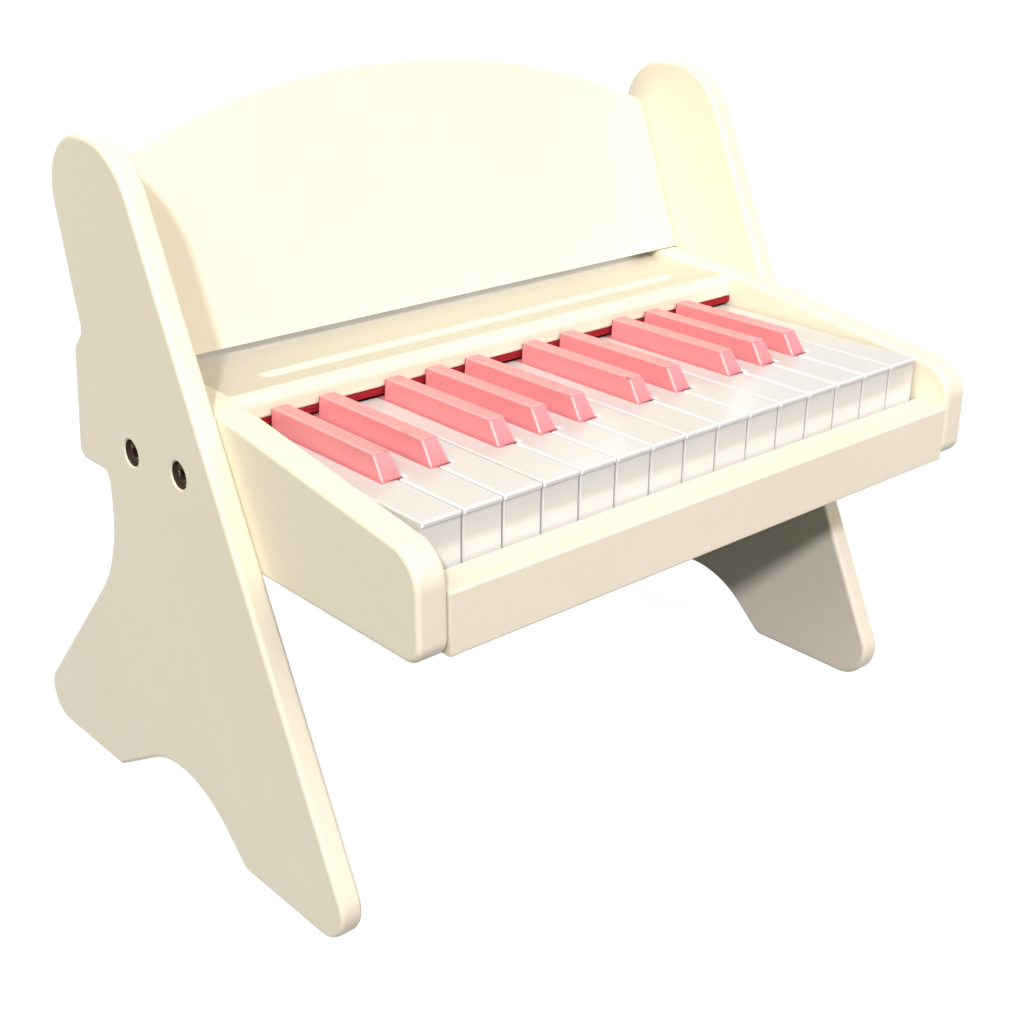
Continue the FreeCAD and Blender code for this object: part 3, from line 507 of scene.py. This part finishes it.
def joined_copy(node):
    """A CAD node's faces as one joined surface, flat stretches made whole."""
    work = bmesh.new()
    work.from_mesh(frame["nodes"][node].data)
    bmesh.ops.remove_doubles(work, verts=work.verts, dist=SAME)
    bmesh.ops.dissolve_limit(work, angle_limit=WHOLE, verts=work.verts, edges=work.edges)
    return work


def every(item, test):
    """Whether all corners of an edge or a face pass a test."""
    return all(test(vertex.co) for vertex in item.verts)


def outer_edges(work, low, high):
    """The edges that stand out and whose faces meet between two angles in degrees."""
    return [edge for edge in work.edges
            if len(edge.link_faces) == 2 and edge.is_convex
            and low < math.degrees(edge.calc_face_angle()) < high]


def round_edges(work, radius, segments, angles, keep=lambda edge: True):
    """Rounds the outer edges that meet between two angles and pass a test."""
    chosen = [edge for edge in outer_edges(work, *angles) if keep(edge)]
    if not chosen:
        raise RuntimeError("no edges to round")
    bmesh.ops.bevel(work, geom=chosen, offset=radius, offset_type="OFFSET", segments=segments, profile=0.5,
                    affect="EDGES", clamp_overlap=False)


def rounded_by_weight(work, radius, segments):
    """The surface with each edge rounded by its weight's share of a radius, so that unlike roundings meet."""
    mesh = bpy.data.meshes.new("rounding")
    work.to_mesh(mesh)
    work.free()
    carrier = bpy.data.objects.new("rounding", mesh)
    bpy.context.scene.collection.objects.link(carrier)
    bevel = carrier.modifiers.new("Rounding", "BEVEL")
    bevel.limit_method = "WEIGHT"
    bevel.width = radius
    bevel.segments = segments
    bevel.use_clamp_overlap = False
    made = bpy.data.meshes.new_from_object(carrier.evaluated_get(bpy.context.evaluated_depsgraph_get()))
    rounded = bmesh.new()
    rounded.from_mesh(made)
    bpy.data.objects.remove(carrier)
    bpy.data.meshes.remove(mesh)
    bpy.data.meshes.remove(made)
    return rounded


def piece_from(work, name, body, slot, *materials):
    """The finished surface as a smooth-shaded piece on a body, standing for the node of its name."""
    mesh = bpy.data.meshes.new(name + "_shape")
    work.to_mesh(mesh)
    work.free()
    if "custom_normal" in mesh.attributes:
        mesh.attributes.remove(mesh.attributes["custom_normal"])
    for material in materials:
        mesh.materials.append(material)
    mesh.shade_smooth()
    mesh.set_sharp_from_angle(angle=CRISP)
    piece = bpy.data.objects.new(name + "_piece", mesh)
    bpy.context.scene.collection.objects.link(piece)
    weighted = piece.modifiers.new("Even shading", "WEIGHTED_NORMAL")
    weighted.keep_sharp = True
    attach(piece, body)
    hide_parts(name)
    return piece


def bolt_axes():
    """Y and Z of the two bolts in a leg, from the frame."""
    low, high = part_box("leg_bolts")
    middle = (low.y + high.y) / 2
    points = [vertex.co for vertex in frame["nodes"]["leg_bolts"].data.vertices]
    axes = []
    for behind in (False, True):
        across = [point.y for point in points if (point.y > middle) == behind]
        up = [point.z for point in points if (point.y > middle) == behind]
        axes.append(((min(across) + max(across)) / 2, (min(up) + max(up)) / 2))
    return axes


BOLT_AXES = bolt_axes()


def from_bolt(point):
    """Distance of a point from the nearest bolt's axis."""
    return min(math.hypot(point.y - across, point.z - up) for across, up in BOLT_AXES)


def clear_of_bolts(edge):
    """Whether an edge lies well outside the bolts' holes and recesses."""
    return every(edge, lambda point: from_bolt(point) > CLEAR_OF_BOLT)


def tighten_nose(work, low, high, radius):
    """Draws the arc along a rail's upper front edge onto a smaller one that meets the same two faces."""
    foot = max(vertex.co.z for vertex in work.verts if vertex.co.y < low.y + SAME)
    wide = high.z - foot
    for vertex in work.verts:
        if vertex.co.y < low.y + wide + SAME and vertex.co.z > foot - SAME:
            vertex.co.y = low.y + (vertex.co.y - low.y) * radius / wide
            vertex.co.z = high.z - (high.z - vertex.co.z) * radius / wide


class PIANO_OT_boards(bpy.types.Operator):
    """Make the painted boards with rounded edges"""

    bl_idname = "toy_piano.boards"
    bl_label = "Painted boards"

    def execute(self, context):
        settings = context.scene.piano_boards
        paint = cream_paint(settings, "cream_paint", 1)
        # A darker copy of the paint, as painted shade on the shelf's flat top
        shelf_paint = cream_paint(settings, "shelf_paint", settings.shelf_shade_tone)
        bare = bare_board(settings)
        for node in LEGS:
            self.leg(settings, node, paint, bare)
        for node in CHEEKS:
            work = joined_copy(node)
            round_edges(work, settings.cheek_round, 4, SQUARE, clear_of_bolts)
            piece_from(work, node, STILL, "cream_paint", paint)
        work = joined_copy("front_rail")
        tighten_nose(work, *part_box("front_rail"), settings.nose_radius)
        round_edges(work, settings.end_round, 2, SQUARE)
        piece_from(work, "front_rail", STILL, "cream_paint", paint)
        self.shelf(settings, paint, shelf_paint)
        for node in PLAIN_BOARDS:
            work = joined_copy(node)
            round_edges(work, settings.end_round, 2, SQUARE)
            piece_from(work, node, STILL, "cream_paint", paint)
        work = joined_copy("music_panel")
        round_edges(work, settings.chamfer_round, 3, SLANT)
        piece_from(work, "music_panel", STILL, "cream_paint", paint)
        return {"FINISHED"}

    def leg(self, settings, node, paint, bare):
        work = joined_copy(node)
        round_edges(work, settings.chamfer_round, 3, SLANT, clear_of_bolts)
        # Faces inside the recesses get the bare board, darkened as painted shade
        for face in work.faces:
            inside = every(face, lambda point: from_bolt(point) < RECESS)
            if inside and from_bolt(face.calc_center_median()) < RECESS:
                face.material_index = 1
        piece_from(work, node, STILL, "cream_paint", paint, bare)

    def shelf(self, settings, paint, shelf_paint):
        low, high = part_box("key_shelf")
        top = high.z - LEVEL
        work = joined_copy("key_shelf")

        def in_groove(point):
            return (low.x + GROOVE_MARGIN < point.x < high.x - GROOVE_MARGIN
                    and low.y + GROOVE_MARGIN < point.y < high.y - GROOVE_MARGIN)

        round_edges(work, settings.groove_round, 4, SQUARE,
                    lambda edge: every(edge, lambda point: in_groove(point) and point.z > top))
        round_edges(work, settings.end_round, 2, SQUARE,
                    lambda edge: every(edge, lambda point: not in_groove(point)))
        # The flat top takes the darker copy of the paint as painted shade; the groove and the edges keep the full
        # paint
        for face in work.faces:
            if face.normal.z > FLAT_TOP and face.calc_center_median().z > top:
                face.material_index = 1
        piece_from(work, "key_shelf", STILL, "cream_paint", paint, shelf_paint)


def mark_edges(work, foot):
    """Marks the narrow slanting faces above a height, which are the rounded edges of a key, where painted
    highlights go.
    """
    mark = work.faces.layers.float.new("edge")
    for face in work.faces:
        slanting = max(abs(part) for part in face.normal) < EDGE_TILT
        small = face.calc_area() < EDGE_AREA
        face[mark] = float(slanting and small and face.calc_center_median().z > foot)


def is_front_corner(edge, low, high):
    """Whether an edge is one of the upright corners at the front of a white key with this box."""
    first, second = (vertex.co for vertex in edge.verts)
    at_side = min(abs(first.x - low.x), abs(first.x - high.x)) < TRUE
    upright = abs(first.x - second.x) < TRUE and abs(first.y - second.y) < TRUE
    return at_side and upright and first.y < low.y + CORNER_DEPTH


class PIANO_OT_white_keys(bpy.types.Operator):
    """Make the white keys with rounded edges and painted highlights along them"""

    bl_idname = "toy_piano.white_keys"
    bl_label = "White keys"

    def execute(self, context):
        settings = context.scene.piano_keys
        plastic = white_plastic(settings, WHITE_TOP)
        for node in WHITES:
            low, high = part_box(node)
            crest = high.z - CREST_DEPTH
            work = joined_copy(node)
            self.weigh_edges(settings, work, low, high, crest)
            work = rounded_by_weight(work, settings.upright_round, 3)
            mark_edges(work, crest)
            # Marks the fronts, which get the painted shade and the painted reflection
            front = work.faces.layers.float.new("front")
            for face in work.faces:
                foremost = face.calc_center_median().y < low.y + FRONT_DEPTH
                face[front] = float(face.normal.y < -FLAT_FRONT and foremost)
            piece_from(work, node, node, "white_plastic", plastic)
        return {"FINISHED"}

    def weigh_edges(self, settings, work, low, high, crest):
        """Gives the front's upright corners their whole rounding, and the edges round the top a share of it."""
        weight = work.edges.layers.float.new("bevel_weight_edge")
        steepest = math.radians(SLANT[1])
        found = False
        for edge in outer_edges(work, SLANT[0], SQUARE[1]):
            if is_front_corner(edge, low, high):
                edge[weight] = 1.0
                found = True
            elif edge.calc_face_angle() < steepest and every(edge, lambda point: point.z > crest):
                edge[weight] = settings.crest_round / settings.upright_round
        if not found:
            raise RuntimeError("a white key has no upright corners to round")


class PIANO_OT_sharps(bpy.types.Operator):
    """Make the pink sharps with softened edges"""

    bl_idname = "toy_piano.sharps"
    bl_label = "Sharps"

    def execute(self, context):
        settings = context.scene.piano_keys
        low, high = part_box(SHARPS[0])
        plastic = pink_plastic(settings, high.z, low.y)
        for node in SHARPS:
            work = joined_copy(node)
            round_edges(work, settings.bevel_round, 3, SLANT,
                        lambda edge: every(edge, lambda point: point.z > WHITE_TOP + BEVEL_RISE))
            round_edges(work, settings.slope_round, 4, SQUARE, lambda edge: every(
                edge, lambda point: point.z > WHITE_TOP - LEVEL and point.y < low.y + SLOPE_REACH))
            mark_edges(work, WHITE_TOP)
            piece_from(work, node, node, "pink_plastic", plastic)
        return {"FINISHED"}


def felt_section(low, high, corner):
    """Points round a strip's cross-section, with round corners."""
    points = []
    for quarter, (across, up) in enumerate(((1, 1), (-1, 1), (-1, -1), (1, -1))):
        centre = Vector(((high.y if across > 0 else low.y) - across * corner,
                         (high.z if up > 0 else low.z) - up * corner))
        for step in range(FELT_CORNER_STEPS + 1):
            turn = math.radians(90 * (quarter + step / FELT_CORNER_STEPS))
            points.append((centre.x + corner * math.cos(turn), centre.y + corner * math.sin(turn)))
    return points


class PIANO_OT_felts(bpy.types.Operator):
    """Make the felt strips with soft corners and an uneven surface"""

    bl_idname = "toy_piano.felts"
    bl_label = "Felt strips"

    def execute(self, context):
        settings = context.scene.piano_felts
        noise.seed_set(NAP_SEED)
        red = felt("red_felt", settings.red)
        grey = felt("grey_felt", settings.grey)
        self.strip(settings, "felt_strip", "red_felt", red, SEEN_RING)
        for node in GREY_FELTS:
            self.strip(settings, node, "grey_felt", grey, HIDDEN_RING)
        return {"FINISHED"}

    def strip(self, settings, node, slot, material, spacing):
        low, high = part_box(node)
        inset = Vector((settings.nap, settings.nap, settings.nap))
        low, high = low + inset, high - inset
        section = felt_section(low, high, settings.corner)
        count = max(FELT_LEAST_RINGS, round((high.x - low.x) / spacing))
        work = bmesh.new()
        rings = []
        for index in range(count + 1):
            along = low.x + (high.x - low.x) * index / count
            ring = []
            for across, up in section:
                place = Vector((along, across, up))
                shift = noise.noise_vector(place * NAP_WAVES) * settings.nap * 0.5
                ring.append(work.verts.new(place + shift))
            rings.append(ring)
        for ring, after in zip(rings, rings[1:]):
            for index in range(len(ring)):
                other = (index + 1) % len(ring)
                work.faces.new((ring[index], ring[other], after[other], after[index]))
        work.faces.new(rings[0])
        work.faces.new(reversed(rings[-1]))
        bmesh.ops.recalc_face_normals(work, faces=work.faces)
        piece = piece_from(work, node, STILL, slot, material)


class Tree:
    """A Geometry Nodes tree with named inputs that is built node by node."""

    def __init__(self, name, inputs):
        self.tree = bpy.data.node_groups.new(name, "GeometryNodeTree")
        sockets = self.tree.interface
        sockets.new_socket("Geometry", in_out="OUTPUT", socket_type="NodeSocketGeometry")
        self.identifiers = {
            title: sockets.new_socket(title, in_out="INPUT", socket_type=kind).identifier
            for title, kind in inputs.items()}
        self.given = self.add("NodeGroupInput").outputs

    def add(self, kind, settings=None, sockets=None):
        """A node with its settings made first, then its sockets; a list feeds one socket several links."""
        node = self.tree.nodes.new(kind)
        for name, value in (settings or {}).items():
            setattr(node, name, value)
        for name, value in (sockets or {}).items():
            for one in value if isinstance(value, list) else [value]:
                if isinstance(one, bpy.types.NodeSocket):
                    self.tree.links.new(one, node.inputs[name])
                else:
                    node.inputs[name].default_value = one
        return node

    def number(self, operation, first, second):
        """A number worked out from two others."""
        return self.add("ShaderNodeMath", {"operation": operation}, {0: first, 1: second}).outputs[0]

    def height(self, value):
        """A vector that points up by this much."""
        return self.add("ShaderNodeCombineXYZ", sockets={"Z": value}).outputs[0]


BOLT_INPUTS = {
    "Points": "NodeSocketGeometry", "Head radius": "NodeSocketFloat", "Head height": "NodeSocketFloat",
    "Rim": "NodeSocketFloat", "Ridges": "NodeSocketInt", "Ridge depth": "NodeSocketFloat",
    "Socket width": "NodeSocketFloat", "Socket depth": "NodeSocketFloat", "Shank radius": "NodeSocketFloat",
    "Shank length": "NodeSocketFloat", "Coating": "NodeSocketMaterial",
}


def bolt_tree():
    """A tree that stands a ridged socket-head bolt on each point, with its seat at the point."""
    tree = Tree("leg_bolts", BOLT_INPUTS)
    given = tree.given
    straight = tree.number("SUBTRACT", given["Head height"], given["Rim"])
    corners = tree.number("MULTIPLY", given["Ridges"], 2)
    head = tree.add("GeometryNodeMeshCylinder", sockets={
        "Vertices": corners, "Radius": given["Head radius"], "Depth": straight})
    odd = tree.number("MODULO", tree.add("GeometryNodeInputIndex").outputs[0], 2)
    flat = tree.add("ShaderNodeVectorMath", {"operation": "MULTIPLY"}, {
        0: tree.add("GeometryNodeInputPosition").outputs[0], 1: (1, 1, 0)}).outputs[0]
    inward = tree.number("MULTIPLY", tree.number("DIVIDE", given["Ridge depth"], given["Head radius"]), -1)
    groove = tree.add("ShaderNodeVectorMath", {"operation": "SCALE"}, {0: flat, "Scale": inward}).outputs[0]
    ridged = tree.add("GeometryNodeSetPosition", sockets={
        "Geometry": head.outputs["Mesh"], "Selection": odd, "Offset": groove})
    raised = tree.add("GeometryNodeExtrudeMesh", sockets={
        "Mesh": ridged.outputs[0], "Selection": head.outputs["Top"], "Offset Scale": given["Rim"],
        "Individual": False})
    drawn_in = tree.number("SUBTRACT", 1, tree.number("DIVIDE", given["Rim"], given["Head radius"]))
    rimmed = tree.add("GeometryNodeScaleElements", sockets={
        "Geometry": raised.outputs["Mesh"], "Selection": raised.outputs["Top"], "Scale": drawn_in})
    standing = tree.add("GeometryNodeTransform", sockets={
        "Geometry": rimmed.outputs[0], "Translation": tree.height(tree.number("DIVIDE", straight, 2))})
    hexagon = tree.add("GeometryNodeMeshCylinder", sockets={
        "Vertices": 6, "Radius": tree.number("DIVIDE", given["Socket width"], math.sqrt(3)),
        "Depth": tree.number("MULTIPLY", given["Socket depth"], 2)})
    cutter = tree.add("GeometryNodeTransform", sockets={
        "Geometry": hexagon.outputs["Mesh"], "Translation": tree.height(given["Head height"])})
    bored = tree.add("GeometryNodeMeshBoolean", {"operation": "DIFFERENCE"}, {
        "Mesh 1": standing.outputs[0], "Mesh 2": cutter.outputs[0]})
    shank = tree.add("GeometryNodeMeshCylinder", sockets={
        "Vertices": SHANK_SIDES, "Radius": given["Shank radius"], "Depth": given["Shank length"]})
    hung = tree.add("GeometryNodeTransform", sockets={
        "Geometry": shank.outputs["Mesh"],
        "Translation": tree.height(tree.number("DIVIDE", given["Shank length"], -2))})
    bolt = tree.add("GeometryNodeJoinGeometry", sockets={"Geometry": [bored.outputs[0], hung.outputs[0]]})
    outward = tree.add("GeometryNodeInputNamedAttribute", {"data_type": "FLOAT_VECTOR"}, {"Name": "outward"})
    facing = tree.add("FunctionNodeAlignRotationToVector", {"axis": "Z"}, {"Vector": outward.outputs[0]})
    bolts = tree.add("GeometryNodeInstanceOnPoints", sockets={
        "Points": given["Points"], "Instance": bolt.outputs[0], "Rotation": facing.outputs[0]})
    real = tree.add("GeometryNodeRealizeInstances", sockets={"Geometry": bolts.outputs[0]})
    coated = tree.add("GeometryNodeSetMaterial", sockets={
        "Geometry": real.outputs[0], "Material": given["Coating"]})
    tree.add("NodeGroupOutput", sockets={"Geometry": coated.outputs[0]})
    return tree.tree, tree.identifiers


class PIANO_OT_bolts(bpy.types.Operator):
    """Make the bolts that hold the legs to the key box"""

    bl_idname = "toy_piano.bolts"
    bl_label = "Bolts"

    def execute(self, context):
        settings = context.scene.piano_bolts
        sizes = self.bolt_sizes()
        seat = sizes.pop("Seat")
        mesh = bpy.data.meshes.new("leg_bolts_points")
        places = [(side * seat, *axis) for side in (-1, 1) for axis in BOLT_AXES]
        mesh.from_pydata(places, [], [])
        outward = mesh.attributes.new("outward", "FLOAT_VECTOR", "POINT")
        for value, place in zip(outward.data, places):
            value.vector = (math.copysign(1, place[0]), 0, 0)
        piece = bpy.data.objects.new("leg_bolts_piece", mesh)
        context.scene.collection.objects.link(piece)
        maker = piece.modifiers.new("Bolts", "NODES")
        maker.node_group, identifiers = bolt_tree()
        values = {
            **sizes, "Rim": settings.rim, "Ridges": settings.ridges, "Ridge depth": settings.ridge_depth,
            "Socket width": settings.socket_width, "Socket depth": settings.socket_depth,
            "Coating": bolt_coat(settings),
        }
        for name, value in values.items():
            maker[identifiers[name]] = value
        made = piece.evaluated_get(context.evaluated_depsgraph_get())
        piece_mesh = bpy.data.meshes.new_from_object(made)
        piece.modifiers.remove(maker)
        piece.data = piece_mesh
        if not piece_mesh.polygons:
            raise RuntimeError("the bolts came out empty")
        piece_mesh.shade_smooth()
        piece_mesh.set_sharp_from_angle(angle=BOLT_CRISP)
        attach(piece, STILL)
        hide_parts("leg_bolts")
        return {"FINISHED"}

    def bolt_sizes(self):
        """Where a bolt of the right leg is seated along X, and the sizes of its head and shank, from the frame."""
        across, up = BOLT_AXES[0]
        reach = {}
        for vertex in frame["nodes"]["leg_bolts"].data.vertices:
            radius = math.hypot(vertex.co.y - across, vertex.co.z - up)
            if vertex.co.x > 0 and radius < BOLT_REACH:
                reach[vertex.index] = (vertex.co.x, radius)
        head_radius = max(radius for _, radius in reach.values())
        rim = 0.95 * head_radius
        face = max(along for along, _ in reach.values())
        end = min(along for along, _ in reach.values())
        seat = min(along for along, radius in reach.values() if radius > rim)
        shank_radius = max(radius for along, radius in reach.values() if along < (seat + end) / 2)
        return {"Seat": seat, "Head radius": head_radius, "Head height": face - seat,
                "Shank radius": shank_radius, "Shank length": seat - end}


class PIANO_OT_inner_works(bpy.types.Operator):
    """Finish the rails, rod, brackets, nuts and tone bars inside the key box"""

    bl_idname = "toy_piano.inner_works"
    bl_label = "Inner works"

    def execute(self, context):
        finishes = {
            bare_wood(): BARE_RAILS,
            metal("steel", (0.56, 0.57, 0.58), 0.28, (0.05, 1, 1)): STEEL_PARTS,
            metal("tone_metal", (0.72, 0.73, 0.74), 0.35, (1, 0.05, 1)): ("tone_bars",),
        }
        for material, nodes in finishes.items():
            for node in nodes:
                slots = frame["nodes"][node].data.materials
                slots.clear()
                slots.append(material)
        return {"FINISHED"}


class PIANO_OT_stage(bpy.types.Operator):
    """Set the floor, the lights and the camera"""

    bl_idname = "toy_piano.stage"
    bl_label = "Stage"

    def execute(self, context):
        scene = context.scene
        settings = scene.piano_stage
        self.floor(scene, settings)
        self.backdrop(scene, settings)
        self.lights(scene, settings)
        self.camera(scene, settings)
        scene.view_settings.view_transform = "Standard"
        return {"FINISHED"}

    def floor(self, scene, settings):
        work = bmesh.new()
        bmesh.ops.create_circle(work, cap_ends=True, segments=FLOOR_SIDES, radius=settings.floor_reach)
        mesh = bpy.data.meshes.new("floor_shape")
        work.to_mesh(mesh)
        work.free()
        mesh.materials.append(floor_paper(settings))
        floor = bpy.data.objects.new("floor", mesh)
        floor.visible_diffuse = False
        scene.collection.objects.link(floor)

    def backdrop(self, scene, settings):
        """A plain sky that is seen and reflected but lights nothing."""
        world = bpy.data.worlds.new("soft_sky")
        world.use_nodes = True
        background = world.node_tree.nodes["Background"]
        background.inputs["Color"].default_value = (1, 1, 1, 1)
        background.inputs["Strength"].default_value = settings.sky
        for ray in ("diffuse", "transmission", "scatter"):
            setattr(world.cycles_visibility, ray, False)
        scene.world = world

    def lights(self, scene, settings):
        key = self.lamp(scene, settings, "key", "SUN", Vector(settings.key_from))
        key.data.angle = settings.key_angle
        for name, (place, size) in SOFT_LIGHTS.items():
            soft = self.lamp(scene, settings, name, "AREA", Vector(place) - LIGHT_AIM)
            soft.location = place
            soft.data.size = size

    def lamp(self, scene, settings, name, kind, towards):
        """A light with the strength and colour set under its name, shining from this direction."""
        data = bpy.data.lights.new(name + "_light", kind)
        data.energy = getattr(settings, name)
        data.color = getattr(settings, name + "_colour")
        lamp = bpy.data.objects.new(name + "_light", data)
        lamp.rotation_euler = towards.to_track_quat("Z", "Y").to_euler()
        scene.collection.objects.link(lamp)
        return lamp

    def camera(self, scene, settings):
        lens = bpy.data.cameras.new("camera")
        lens.lens = settings.lens
        lens.sensor_width = 36
        lens.clip_start = 0.01
        lens.clip_end = 60
        camera = bpy.data.objects.new("camera", lens)
        camera.location = settings.camera_place
        camera.rotation_euler = settings.camera_turn
        scene.collection.objects.link(camera)
        scene.camera = camera


MAKERS = (PIANO_OT_stage, PIANO_OT_boards, PIANO_OT_white_keys, PIANO_OT_sharps, PIANO_OT_felts, PIANO_OT_bolts,
          PIANO_OT_inner_works)
SETTINGS = {
    "piano_boards": BoardSettings,
    "piano_keys": KeySettings,
    "piano_felts": FeltSettings,
    "piano_bolts": BoltSettings,
    "piano_stage": StageSettings,
}


class PIANO_PT_panel(bpy.types.Panel):
    """Lists the makers and the sizes and colours they use"""

    bl_idname = "PIANO_PT_panel"
    bl_label = "Toy piano"
    bl_space_type = "VIEW_3D"
    bl_region_type = "UI"
    bl_category = "Toy piano"

    def draw(self, context):
        for maker in MAKERS:
            self.layout.operator(maker.bl_idname)
        for name, group in SETTINGS.items():
            box = self.layout.box()
            box.label(text=group.__doc__.rstrip("."))
            for field in group.__annotations__:
                box.prop(getattr(context.scene, name), field)


def register():
    for group in SETTINGS.values():
        bpy.utils.register_class(group)
    for name, group in SETTINGS.items():
        setattr(bpy.types.Scene, name, bpy.props.PointerProperty(type=group))
    for maker in MAKERS:
        bpy.utils.register_class(maker)
    bpy.utils.register_class(PIANO_PT_panel)


def unregister():
    bpy.utils.unregister_class(PIANO_PT_panel)
    for maker in reversed(MAKERS):
        bpy.utils.unregister_class(maker)
    for name in SETTINGS:
        delattr(bpy.types.Scene, name)
    for group in SETTINGS.values():
        bpy.utils.unregister_class(group)


def main():
    register()
    for maker in MAKERS:
        area, name = maker.bl_idname.split(".")
        getattr(getattr(bpy.ops, area), name)()


if __name__ == "__main__":
    main()
